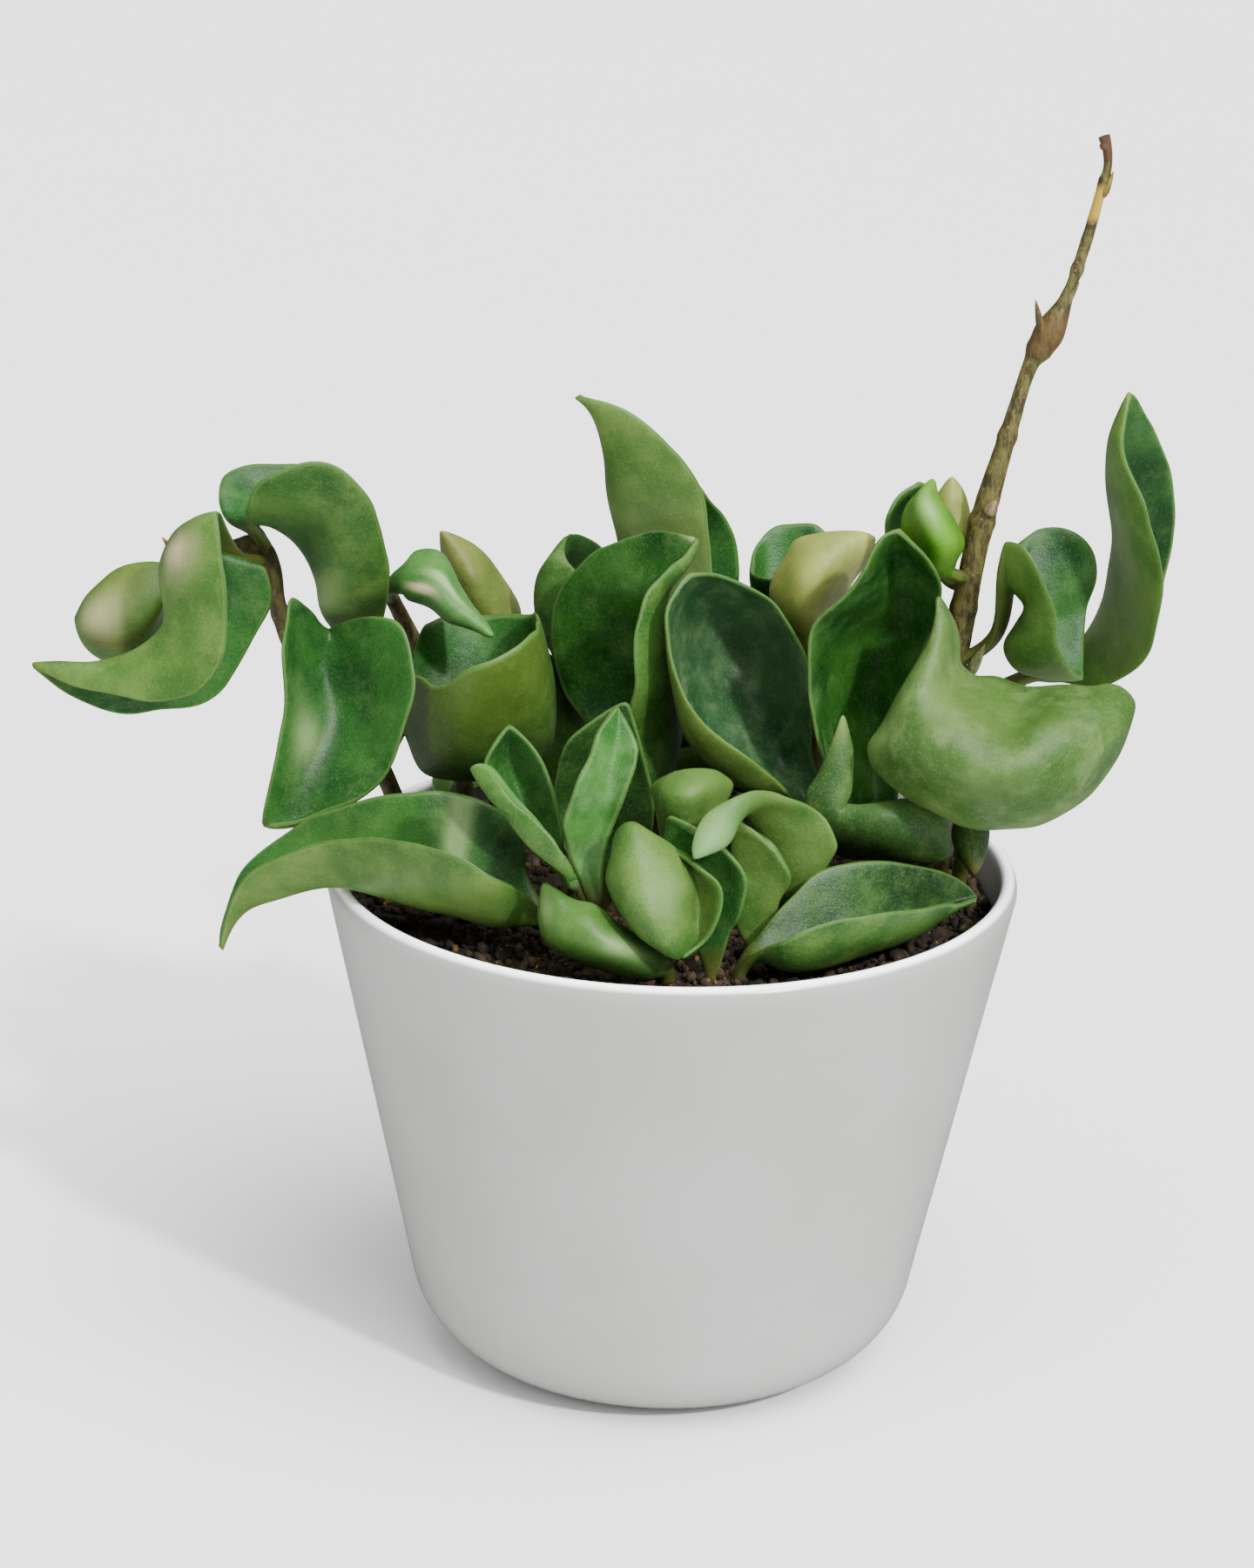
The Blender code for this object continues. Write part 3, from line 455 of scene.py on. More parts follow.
# Where the vine's joints are, small papery scales stand off its bark, with a corky scar left by an old leaf,
# a resting bud low down and a knobbly growing tip. A dry ochre stub ends the left stem.
BUDS = {
    "left_scale": ((65, 8, 196), (63, 6, 204), 1.1, (132, 116, 62)),
    "right_scale": ((67, 9, 199), (71, 8, 207), 1.2, (150, 140, 84)),
    "back_scale": ((67, 11, 198), (69, 13, 205), 1.1, (118, 96, 52)),
    "leaf_scar": ((56.4, 5.0, 164), (57.6, 3.6, 167), 1.9, (178, 152, 118)),
    "resting_bud": ((54, 3, 133), (57, 2, 140), 1.6, (138, 142, 92)),
    "growing_tip": ((74.3, 10, 230.5), (74, 9.5, 233), 1.3, (126, 88, 58)),
    "upper_scale": ((74.5, 9.5, 222), (76, 9, 227), 0.9, (170, 148, 78)),
    "ochre_stub": ((-92, 11, 149), (-96, 9, 155), 1.3, (176, 132, 62)),
}


def build_bud(name, foot, tip, radius, colour):
    """A small pointed bud or scale, widest near its foot."""
    foot, tip = in_metres((foot, tip))
    turn = (tip - foot).to_track_quat("Z", "Y").to_matrix()
    bm = bmesh.new()
    bmesh.ops.create_uvsphere(bm, u_segments=16, v_segments=12, radius=1)
    for vert in bm.verts:
        up = (vert.co.z + 1) / 2
        taper = radius * MM * (1 - 0.7 * up)
        vert.co = foot + turn @ Vector((vert.co.x * taper, vert.co.y * taper, up * (tip - foot).length))
    light = screen(*colour)
    dark = screen(*[part * 0.7 for part in colour])
    add_piece(name, bm, [bark_material(name + "_bark", light, dark, light)])


for bud_name, bud in BUDS.items():
    build_bud(bud_name, *bud)


# The leaves are thick, waxy and deeply curled, paler and duller underneath, with a thin pale margin. Each
# grows on a short round petiole out of a stem or the soil. The first ones lean out over the pot's left side,
# on the left stem: a hook, a young leaf still opening, a tall arch and a folded heart.
BLADE_THICKNESS = 0.0017
PETIOLE_WIDTH = 0.0030
PETIOLE_THICKNESS = 0.0026
TIP_THINNING = 0.7
MARGIN_THINNING = 0.5
MARGIN_WAVE = 0.0006
LUMP_HEIGHT = 0.0005
BLADE_COLUMNS = 16
ROWS_PER_STEP = 5
TIP_WELD = 0.00005
STALK_OLIVE = screen(104, 104, 54)


def leaf_tissue_group():
    """Waxy leaf flesh shared by every leaf: soft patches, pale dots, a whitish veil that is partly dust and partly
    painted sheen, a pale margin and painted marks.
    """
    group = bpy.data.node_groups.new("waxy_leaf_tissue", "ShaderNodeTree")
    for name in ("Light", "Dark", "Margin", "Mark", "Bloom Color"):
        group.interface.new_socket(name, in_out="INPUT", socket_type="NodeSocketColor")
    for name in ("From Margin", "Mark Cover", "Dust And Sheen"):
        group.interface.new_socket(name, in_out="INPUT", socket_type="NodeSocketFloat")
    group.interface.new_socket("Color", in_out="OUTPUT", socket_type="NodeSocketColor")
    group.interface.new_socket("Cloud", in_out="OUTPUT", socket_type="NodeSocketFloat")
    group.interface.new_socket("Height", in_out="OUTPUT", socket_type="NodeSocketFloat")
    given = group.nodes.new("NodeGroupInput").outputs
    place = add_node(group, "ShaderNodeTexCoord").outputs["Object"]
    patches = add_node(group, "ShaderNodeTexNoise", {"Vector": place, "Scale": 75, "Detail": 3, "Roughness": 0.55})
    speckle = add_node(group, "ShaderNodeTexNoise", {"Vector": place, "Scale": 2300, "Detail": 3, "Roughness": 0.65})
    haze = add_node(group, "ShaderNodeTexNoise", {"Vector": place, "Scale": 160, "Detail": 6, "Roughness": 0.7})
    colour = blend(group, span(group, patches.outputs["Fac"], 0.32, 0.66), given["Dark"], given["Light"])
    drift = span(group, haze.outputs["Fac"], 0.45, 0.7, 0.0, 0.4)
    colour = blend(group, drift, colour, given["Margin"])
    dots = span(group, speckle.outputs["Fac"], 0.5, 0.75, 0.0, 0.5)
    colour = blend(group, dots, colour, given["Margin"])
    pores = span(group, speckle.outputs["Fac"], 0.48, 0.3, 0.0, 0.5)
    colour = blend(group, pores, colour, given["Dark"])
    # A whitish veil in clouds: partly real dust and bloom, partly a painted sheen, as strong as the skin asks.
    dust_and_sheen_mask = span(group, haze.outputs["Fac"], 0.4, 0.72)
    veil = add_node(group, "ShaderNodeMath", {0: dust_and_sheen_mask, 1: given["Dust And Sheen"]}, operation="MULTIPLY").outputs[0]
    colour = blend(group, veil, colour, given["Bloom Color"])
    colour = blend(group, given["Mark Cover"], colour, given["Mark"])
    edge = span(group, given["From Margin"], 0.0003, 0.0001, 0.0, 0.35)
    colour = blend(group, edge, colour, given["Margin"])
    lumps = add_node(group, "ShaderNodeMath", {0: patches.outputs["Fac"], 1: 6.0}, operation="MULTIPLY").outputs[0]
    relief = add_node(group, "ShaderNodeMath", {0: lumps, 1: speckle.outputs["Fac"]}, operation="ADD").outputs[0]
    result = group.nodes.new("NodeGroupOutput").inputs
    group.links.new(colour, result["Color"])
    group.links.new(haze.outputs["Fac"], result["Cloud"])
    group.links.new(relief, result["Height"])
    return group


LEAF_TISSUE = leaf_tissue_group()


def leaf_skin(name, light, dark, margin, marks, smooth, rough, dust_and_sheen=0.0):
    """One face of a leaf, whose painted marks come from the mesh."""
    made, tree, shader = new_material(name)
    paint = add_node(tree, "ShaderNodeAttribute", attribute_name=marks)
    inputs = {
        "Light": light,
        "Dark": dark,
        "Margin": margin,
        "Mark": paint.outputs["Color"],
        "Mark Cover": paint.outputs["Alpha"],
        "From Margin": add_node(tree, "ShaderNodeAttribute", attribute_name="from_margin").outputs["Fac"],
        "Dust And Sheen": dust_and_sheen,
        "Bloom Color": screen(176, 190, 172),
    }
    tissue = tree.nodes.new("ShaderNodeGroup")
    tissue.node_tree = LEAF_TISSUE
    for socket, value in inputs.items():
        if isinstance(value, bpy.types.NodeSocket):
            tree.links.new(value, tissue.inputs[socket])
        else:
            tissue.inputs[socket].default_value = value
    tree.links.new(tissue.outputs["Color"], shader.inputs["Base Color"])
    tree.links.new(span(tree, tissue.outputs["Cloud"], 0.35, 0.65, smooth, rough), shader.inputs["Roughness"])
    bump = add_node(
        tree, "ShaderNodeBump", {"Height": tissue.outputs["Height"], "Strength": 0.7, "Distance": 0.00014}
    )
    tree.links.new(bump.outputs["Normal"], shader.inputs["Normal"])
    shader.inputs["Specular IOR Level"].default_value = 0.24
    shader.inputs["Subsurface Weight"].default_value = 0.1
    shader.inputs["Subsurface Radius"].default_value = (0.5, 1.0, 0.2)
    shader.inputs["Subsurface Scale"].default_value = 0.002
    return made


def top_skin(name, light, dark, dust_and_sheen=0.0):
    """The dark, glossy upper face of a leaf."""
    return leaf_skin(name, light, dark, screen(114, 154, 88), "top_marks", 0.3, 0.45, dust_and_sheen)


def under_skin(name, light, dark, dust_and_sheen=0.0):
    """The paler, duller lower face of a leaf."""
    return leaf_skin(name, light, dark, screen(138, 166, 94), "under_marks", 0.38, 0.52, dust_and_sheen)


def leaf_lines(leaf):
    """The lengthwise lines from petiole to tip, how far along each point lies, and the blade's first row."""
    rows = [in_metres(row) for row in leaf["rows"]]
    petiole = in_metres(leaf["petiole"])
    stem, near = leaf.get("seat", (None, leaf["petiole"][0]))
    start = Vector(near) * MM
    run = (petiole[-1] - start).normalized()
    side = rows[0][-1] - rows[0][0]
    side = (side - run * side.dot(run)).normalized()
    if stem:
        petiole.insert(0, start)
    count = len(rows[0])
    stalk_rows = []
    wide = leaf.get("petiole_width", PETIOLE_WIDTH)
    for point in petiole:
        places = [wide * (i / (count - 1) - 0.5) for i in range(count)]
        stalk_rows.append([point + side * place for place in places])
    every = stalk_rows + rows + [[Vector(leaf["tip"]) * MM] * count]
    middles = [row[count // 2] for row in every]
    return list(zip(*every)), distances(middles), len(petiole)


def painted(marks, across, up, stalk):
    """The colour and cover of a leaf's marks at one place. A mark is (across, up, wide, long, colour, strength)."""
    total = Vector(STALK_OLIVE) * stalk
    cover = stalk
    for mark_across, mark_up, wide, long, colour, strength in marks:
        far = ((across - mark_across) / wide) ** 2 + ((up - mark_up) / long) ** 2
        near = strength * math.exp(-far)
        total += Vector(colour) * near
        cover += near
    if cover > 0.001:
        total /= cover
    return (*total[:3], min(cover, 1))


def build_leaf(name, leaf, skins):
    """One leaf as a waved sheet through its points, then given its thickness and rounded margins."""
    lines, knots, blade_row = leaf_lines(leaf)
    last = len(knots) - 1
    across = [2 * i / (len(lines) - 1) - 1 for i in range(len(lines))]
    bm = bmesh.new()
    bmesh.ops.create_grid(bm, x_segments=BLADE_COLUMNS, y_segments=ROWS_PER_STEP * last, size=1)
    from_margin = bm.verts.layers.float.new("from_margin")
    top_marks = bm.verts.layers.float_color.new("top_marks")
    under_marks = bm.verts.layers.float_color.new("under_marks")
    rows = {}
    thick = []
    for vert in bm.verts:
        u = vert.co.x
        at = (vert.co.y + 1) / 2 * last
        key = round(at, 4)
        if key not in rows:
            low = min(int(at), last - 1)
            place = knots[low] + (at - low) * (knots[low + 1] - knots[low])
            points = [along(line, knots, place) for line in lines]
            rows[key] = (points, distances([along(points, across, i / 4 - 1) for i in range(9)])[-1])
        points, width = rows[key]
        blade = min(max(at - blade_row + 1, 0), 1)
        up = (at - blade_row) / (last - blade_row)
        vert.co = along(points, across, u)
        lumps = noise.noise_vector(vert.co * 95) * LUMP_HEIGHT * leaf.get("lumps", 1)
        waves = noise.noise_vector(vert.co * 170) * MARGIN_WAVE * abs(u) ** 3
        vert.co += (lumps + waves) * blade
        vert[from_margin] = (1 - abs(u)) / 2 * width
        vert[top_marks] = painted(leaf.get("top_marks", ()), u, up, 0.85 * (1 - blade) ** 0.7)
        vert[under_marks] = painted(leaf.get("under_marks", ()), u, up, 0.85 * (1 - blade) ** 0.7)
        round_stalk = math.sqrt(1 - 0.96 * u * u)
        flat_blade = BLADE_THICKNESS / PETIOLE_THICKNESS * (1 - MARGIN_THINNING * abs(u) ** 5)
        thinning = 1 - (1 - TIP_THINNING) * max(0, at - last + 1)
        thick.append(((1 - blade) * round_stalk + blade * flat_blade) * thinning)
    bm.verts.index_update()
    piece = add_piece(name, bm, skins, [leaf["solid"]])
    group = piece.vertex_groups.new(name="thickness")
    for index, weight in enumerate(thick):
        group.add([index], weight, "REPLACE")
    weld = piece.modifiers.new("tip", "WELD")
    weld.merge_threshold = TIP_WELD
    body = piece.modifiers.new("flesh", "SOLIDIFY")
    body.thickness = PETIOLE_THICKNESS
    body.offset = 0
    body.vertex_group = group.name
    body.material_offset = 1
    body.material_offset_rim = 2
    smooth = piece.modifiers.new("rounded", "SUBSURF")
    smooth.levels = 1
    smooth.render_levels = 1
    return piece


def build_leaves(leaves):
    for name, leaf in leaves.items():
        build_leaf("waxy_" + name, {**leaf, "solid": name}, [*leaf["skins"], LEAF_RIM])
LEAF_RIM = leaf_skin(
    "leaf_rim", screen(80, 124, 60), screen(56, 98, 46), screen(118, 154, 88), "under_marks", 0.36, 0.5
)
MID_TOP = top_skin("mid_green_top", screen(68, 124, 60), screen(34, 82, 40))
YELLOW_UNDER = under_skin("yellow_green_under", screen(116, 150, 82), screen(78, 122, 56))
SOFT_UNDER = under_skin("soft_green_under", screen(90, 134, 68), screen(54, 102, 48))
PINKISH = screen(214, 198, 178)
BROWN = screen(116, 84, 44)
OLIVE = screen(116, 124, 56)
# A whitish mostly for painted highlights and sheen on the leaves, and also for a pale scar and a pale tip spot.
HIGHLIGHT_AND_SPOT_WHITE = screen(190, 206, 168)
LEFT_LEAVES = {
    "left_hook_leaf": {
        "seat": ("left_stem", (-77, 11, 151)),
        "petiole": [(-81, 5, 152)],
        "rows": [
            [(-76, 1, 152), (-91, -3, 158), (-83, -12, 166)],
            [(-75, 2, 146), (-94, -6, 153), (-82, -17, 160)],
            [(-78, 1, 138), (-93, -8, 144), (-81, -19, 146)],
            [(-85, -2, 128), (-98, -8, 138), (-84, -19, 136)],
            [(-94, -4, 125), (-106, -8, 135), (-94, -16, 131)],
            [(-107, -6, 126), (-113, -8, 135), (-108, -12, 132)],
        ],
        "tip": (-118, -9, 135),
        "skins": (MID_TOP, YELLOW_UNDER),
        "top_marks": [(0, 1, 1, 0.1, OLIVE, 0.5)],
        "under_marks": [(0.6, 0.14, 0.16, 0.06, PINKISH, 0.55), (0, 1, 1, 0.1, OLIVE, 0.6)],
    },
    "left_young_leaf": {
        "seat": ("left_stem", (-90, 12, 149)),
        "petiole": [(-92, 8, 147)],
        "rows": [
            [(-93, 8, 149), (-94, 5, 145), (-94, 9, 142)],
            [(-96, 9, 151), (-97, 2, 141), (-95, 10, 135)],
            [(-102, 9, 150), (-104, 1, 138), (-101, 10, 131)],
            [(-108, 9, 145), (-110, 4, 138), (-108, 10, 133)],
        ],
        "tip": (-112, 9, 139),
        "skins": (MID_TOP, YELLOW_UNDER),
        "under_marks": [
            (0.1, 0.5, 0.1, 0.3, BROWN, 0.5),
            (-0.3, 0.6, 0.3, 0.15, PINKISH, 0.35),
            (-0.8, 0.5, 0.3, 0.3, OLIVE, 0.5),
        ],
        "lumps": 4,
    },
    "left_arch_leaf": {
        "seat": ("left_stem", (-77, 11, 153)),
        "petiole": [(-78, 8, 156)],
        "rows": [
            [(-84, 6, 160), (-79, 3, 160), (-79, -4, 163)],
            [(-85, 14, 166), (-75, 5, 159), (-76, -9, 171)],
            [(-75, 19, 167), (-70, 6, 155), (-66, -8, 175)],
            [(-63, 22, 164), (-67, 8, 148), (-57, -7, 169)],
            [(-58, 22, 154), (-66, 12, 140), (-53, 1, 154)],
            [(-58, 21, 141), (-63, 16, 134), (-55, 11, 140)],
        ],
        "tip": (-60, 17, 129),
        "skins": (MID_TOP, SOFT_UNDER),
        "under_marks": [
            # Painted shade darkens the under face near the base, and the two whitish patches after it are painted
            # highlights on the strap.
            (0.3, 0.36, 0.3, 0.12, screen(44, 92, 34), 0.8),
            (-0.2, 0.5, 0.2, 0.1, HIGHLIGHT_AND_SPOT_WHITE, 0.4),
            (0.3, 0.6, 0.25, 0.08, HIGHLIGHT_AND_SPOT_WHITE, 0.3),
            (0.8, 0.9, 1, 0.12, OLIVE, 0.5),
        ],
    },
    "left_front_leaf": {
        "seat": ("left_stem", (-74, 13, 136)),
        "petiole": [(-69, 10, 136)],
        "rows": [
            [(-62, 4, 141), (-65, 6, 138), (-68, 3, 143)],
            [(-52, -4, 144), (-65, 4, 132), (-71, -5, 148)],
            [(-48, -9, 137), (-63, 1, 124), (-72, -9, 140)],
            [(-49, -12, 128), (-64, -3, 118), (-72, -11, 130)],
            [(-53, -13, 117), (-67, -7, 112), (-73, -12, 121)],
            [(-62, -13, 110), (-70, -9, 107), (-75, -12, 112)],
        ],
        "tip": (-76, -11, 106),
        "skins": (MID_TOP, SOFT_UNDER),
        "top_marks": [
            # The whitish patch is a painted sheen, and the dark strip down the middle is painted shade in the crease
            # of the midrib.
            (0.5, 0.5, 0.25, 0.1, HIGHLIGHT_AND_SPOT_WHITE, 0.35),
            (0, 0.55, 0.2, 0.3, screen(40, 86, 36), 0.6),
            (0, 1, 1, 0.05, BROWN, 0.8),
        ],
    },
}
build_leaves(LEFT_LEAVES)


# Behind the left rim stand a wide cup on the left stem and three leaves on the stems behind it: one scarred
# with white where it was rubbed, an olive one, and one rolled into a tube on the centre stem.
OLIVE_UNDER = under_skin("olive_green_under", screen(70, 112, 58), screen(42, 78, 38))
BROWNISH_UNDER = under_skin("brownish_green_under", screen(148, 150, 90), screen(100, 126, 58))
DUSTY_TOP = top_skin("dusty_green_top", screen(104, 158, 86), screen(58, 116, 52), 0.12)
DEEP_TOP = top_skin("deep_green_top", screen(60, 114, 48), screen(26, 74, 30))
CUP_LEAVES = {
    "cup_leaf": {
        "seat": ("left_stem", (-57, 17, 109)),
        "petiole": [(-54, 12, 113)],
        "rows": [
            [(-49, 12, 135), (-51, 9, 118), (-49, 3, 131)],
            [(-46, 15, 138), (-47, 4, 113), (-44, -12, 134)],
            [(-41, 18, 139), (-41, 1, 112), (-38, -20, 140)],
            [(-34, 19, 139), (-33, 1, 113), (-31, -19, 143)],
            [(-28, 16, 140), (-25, 2, 115), (-27, -14, 145)],
            [(-27, 10, 142), (-23, 4, 125), (-26, -7, 144)],
        ],
        "tip": (-26, 4, 142),
        "skins": (MID_TOP, OLIVE_UNDER),
        # The pale mark is painted light on the upper, front side of the cup, and the dark one is painted shade low in
        # its middle.
        "under_marks": [(0.9, 0.5, 0.4, 0.6, screen(126, 156, 74), 0.5), (0, 0.4, 0.4, 0.5, screen(44, 76, 30), 0.6)],
    },
    "scarred_leaf": {
        "seat": ("left_back_stem", (-54, 21, 141)),
        "petiole": [(-54, 16, 144)],
        "rows": [
            [(-51, 15, 149), (-52, 12, 147), (-51, 10, 145)],
            [(-49, 17, 151), (-49, 9, 148), (-50, 9, 144)],
            [(-44, 16, 151), (-45, 6, 148), (-46, 7, 143)],
            [(-41, 12, 146), (-42, 4, 145), (-43, 5, 141)],
            [(-37, 7, 142), (-38, 3, 142), (-39, 4, 140)],
        ],
        "tip": (-34, 2, 139),
        "skins": (DUSTY_TOP, SOFT_UNDER),
        "top_marks": [(0.3, 0.3, 0.12, 0.12, PINKISH, 0.9), (-0.2, 0.5, 0.12, 0.2, HIGHLIGHT_AND_SPOT_WHITE, 0.6)],
    },
    "olive_leaf": {
        "seat": ("left_back_stem", (-44, 28, 114)),
        "petiole": [(-38, 28, 120)],
        "rows": [
            [(-31, 32, 128), (-34, 26, 130), (-38, 30, 129)],
            [(-30, 33, 134), (-36, 24, 137), (-43, 31, 137)],
            [(-33, 33, 140), (-39, 24, 144), (-45, 31, 144)],
            [(-38, 32, 147), (-41, 26, 148), (-45, 29, 149)],
        ],
        "tip": (-45, 28, 152),
        "skins": (MID_TOP, BROWNISH_UNDER),
    },
    "rolled_leaf": {
        "seat": ("centre_stem", (-2, 12, 108)),
        "petiole": [(-12, 22, 116)],
        "rows": [
            [(-17, 20, 127), (-20, 21, 126), (-18, 27, 126)],
            [(-17, 20, 139), (-26, 23, 137), (-16, 32, 136)],
            [(-19, 21, 146), (-26, 24, 144), (-13, 34, 144)],
            [(-21, 22, 149), (-23, 24, 149), (-15, 32, 149)],
        ],
        "tip": (-20, 28, 152),
        "skins": (MID_TOP, SOFT_UNDER),
        "top_marks": [(-0.8, 0.6, 0.5, 0.3, screen(170, 180, 110), 0.5)],
    },
}
build_leaves(CUP_LEAVES)


# At the left front a long gutter-shaped leaf lies over the lip, and the short front stem carries a thin,
# a spear-shaped and a hooded leaf, all dusty. A scroll and a bright, bent leaf grow from the soil before them.
BRIGHT_TOP = top_skin("bright_green_top", screen(104, 144, 74), screen(68, 116, 52))
BEAN_UNDER = under_skin("bean_green_under", screen(112, 148, 80), screen(70, 114, 54))
FRONT_LEFT_LEAVES = {
    "front_left_leaf": {
        "petiole": [(-17, -28, 82), (-18, -30, 92), (-22, -33, 97)],
        "rows": [
            [(-26, -39, 104), (-27, -34, 97), (-26, -28, 104)],
            [(-32, -45, 110), (-32, -34, 97), (-28, -23, 111)],
            [(-40, -45, 114), (-40, -31, 98), (-37, -20, 116)],
            [(-51, -39, 114), (-51, -27, 99), (-49, -19, 116)],
            [(-61, -33, 112), (-62, -22, 99), (-62, -17, 112)],
            [(-72, -28, 106), (-71, -20, 96), (-73, -15, 105)],
            [(-79, -25, 99), (-79, -19, 92), (-81, -16, 96)],
        ],
        "tip": (-83, -22, 85),
        "skins": (MID_TOP, YELLOW_UNDER),
        # The thin whitish band is a painted highlight along the leaf.
        "top_marks": [(0.6, 0.3, 0.5, 0.03, HIGHLIGHT_AND_SPOT_WHITE, 0.5), (0.3, 0.6, 0.6, 0.25, screen(112, 167, 87), 0.5)],
    },
    "thin_leaf": {
        "seat": ("front_stem", (-14, -36, 97)),
        "petiole": [(-18, -41, 104)],
        "rows": [
            [(-20, -50, 116), (-18, -49, 111), (-20, -45, 113)],
            [(-24, -49, 121), (-24, -48, 116), (-23, -43, 118)],
            [(-28, -46, 124), (-28, -46, 120), (-28, -40, 123)],
            [(-32, -42, 128), (-32, -43, 124), (-32, -37, 127)],
        ],
        "tip": (-36, -39, 128),
        "skins": (DUSTY_TOP, SOFT_UNDER),
    },
    "spear_leaf": {
        "seat": ("front_stem", (-14, -37, 101)),
        "petiole": [(-14, -42, 104)],
        "rows": [
            [(-17, -43, 109), (-15, -41, 108), (-13, -43, 109)],
            [(-19, -43, 114), (-16, -40, 112), (-12, -42, 114)],
            [(-20, -44, 120), (-15, -40, 117), (-11, -41, 119)],
            [(-18, -43, 126), (-13, -39, 123), (-9, -40, 125)],
            [(-16, -41, 130), (-12, -37, 128), (-7, -38, 130)],
            [(-14, -38, 134), (-11, -35, 132), (-7, -36, 132)],
        ],
        "tip": (-11, -32, 138),
        "skins": (DUSTY_TOP, SOFT_UNDER),
    },
    "hooded_leaf": {
        "seat": ("front_stem", (-14, -36, 98)),
        "petiole": [(-18, -32, 104), (-21, -30, 107)],
        "rows": [
            [(-27, -32, 112), (-24, -27, 110), (-20, -31, 112)],
            [(-32, -31, 119), (-27, -25, 117), (-21, -31, 120)],
            [(-34, -30, 126), (-30, -24, 124), (-24, -30, 127)],
        ],
        "tip": (-30, -27, 132),
        "skins": (MID_TOP, MID_TOP),
    },
    "scroll_leaf": {
        "petiole": [(-4, -39, 82), (-4, -39, 98), (-5, -40, 113)],
        "rows": [
            [(-10, -44, 118), (-8, -47, 121), (-6, -47, 120), (-3, -43, 116), (-1, -45, 115)],
            [(-11, -46, 114), (-8, -53, 117), (-3, -51, 117), (1, -44, 114), (4, -49, 114)],
            [(-12, -48, 110), (-7, -56, 112), (0, -52, 112), (4, -45, 109), (8, -51, 111)],
            [(-9, -50, 105), (-4, -58, 107), (0, -53, 107), (4, -47, 103), (8, -52, 106)],
            [(-6, -52, 102), (-2, -58, 103), (1, -54, 104), (4, -50, 100), (6, -53, 102)],
        ],
        "tip": (1, -55, 99),
        "skins": (DEEP_TOP, BEAN_UNDER),
        # The faint whitish patch is a painted highlight.
        "under_marks": [(-0.2, 0.5, 0.2, 0.2, HIGHLIGHT_AND_SPOT_WHITE, 0.2)],
    },
    "base_leaf": {
        "petiole": [(0, -46, 82), (-1, -46, 92)],
        "rows": [
            [(-5, -49, 93), (-3, -51, 96), (-1, -47, 96)],
            [(-11, -49, 94), (-10, -55, 100), (-8, -48, 101)],
            [(-17, -46, 95), (-15, -55, 102), (-13, -49, 106)],
            [(-22, -43, 97), (-20, -52, 103), (-17, -48, 107)],
            [(-24, -42, 101), (-22, -49, 105), (-20, -48, 108)],
        ],
        "tip": (-23, -46, 109),
        "skins": (BRIGHT_TOP, BEAN_UNDER),
        # Both whitish patches are painted highlights.
        "top_marks": [(0.2, 0.2, 0.3, 0.12, HIGHLIGHT_AND_SPOT_WHITE, 0.35), (0, 0.8, 0.4, 0.12, HIGHLIGHT_AND_SPOT_WHITE, 0.25)],
    },
}
build_leaves(FRONT_LEFT_LEAVES)


# In the middle of the front, crescent-shaped leaves stand close together out of the soil. The outer one
# bends over, and its long tip turns back like a thorn. A broad leaf with a waved margin backs them.
CRESCENT_LEAVES = {
    "dark_crescent_leaf": {
        "petiole": [(7, -43, 82), (7, -43, 92)],
        "rows": [
            [(3, -41, 98), (6, -42, 97), (10, -44, 99)],
            [(1, -40, 102), (6, -41, 102), (12, -45, 103)],
            [(0, -39, 107), (6, -40, 108), (13, -45, 109)],
            [(-1, -39, 112), (4, -40, 113), (10, -44, 114)],
            [(-2, -38, 115), (1, -39, 117), (5, -42, 117)],
        ],
        "tip": (-1, -39, 119),
        "skins": (MID_TOP, SOFT_UNDER),
    },
    "inner_crescent_leaf": {
        "petiole": [(15, -37, 82), (15, -37, 92)],
        "rows": [
            [(18, -38, 98), (15, -37, 97), (12, -37, 98)],
            [(19, -38, 104), (15, -37, 103), (10, -36, 103)],
            [(21, -39, 109), (15, -36, 109), (10, -35, 108)],
            [(19, -38, 113), (14, -36, 114), (10, -35, 112)],
            [(15, -37, 116), (12, -36, 116), (10, -35, 115)],
        ],
        "tip": (11, -36, 118),
        "skins": (MID_TOP, YELLOW_UNDER),
    },
    "outer_crescent_leaf": {
        "petiole": [(21, -28, 82), (21, -28, 96)],
        "rows": [
            [(25, -31, 103), (21, -30, 102), (18, -29, 103)],
            [(28, -31, 108), (22, -31, 107), (16, -29, 107)],
            [(29, -32, 113), (21, -31, 113), (15, -29, 112)],
            [(25, -32, 119), (18, -32, 119), (13, -31, 117)],
            [(18, -35, 123), (15, -37, 122), (12, -37, 119)],
            [(12, -41, 125), (11, -43, 122), (11, -42, 119)],
            [(5, -45, 122), (7, -48, 119), (9, -46, 117)],
        ],
        "tip": (3, -50, 116),
        "skins": (DUSTY_TOP, YELLOW_UNDER),
        "top_marks": [(0, 0.9, 1, 0.2, screen(150, 188, 138), 0.6)],
        "under_marks": [(0, 0.9, 1, 0.16, screen(150, 188, 138), 0.6)],
    },
    "spiky_leaf": {
        "petiole": [(1, -32, 82), (1, -33, 100)],
        "rows": [
            [(4, -32, 111), (1, -35, 111), (-2, -32, 111)],
            [(6, -31, 115), (1, -37, 117), (-3, -32, 115)],
            [(9, -30, 119), (1, -38, 122), (-4, -31, 119)],
            [(10, -29, 122), (3, -35, 124), (-5, -30, 122)],
            [(9, -28, 123), (4, -31, 125), (-2, -29, 123)],
        ],
        "tip": (7, -28, 124),
        "skins": (MID_TOP, YELLOW_UNDER),
        "lumps": 2.5,
    },
}
build_leaves(CRESCENT_LEAVES)


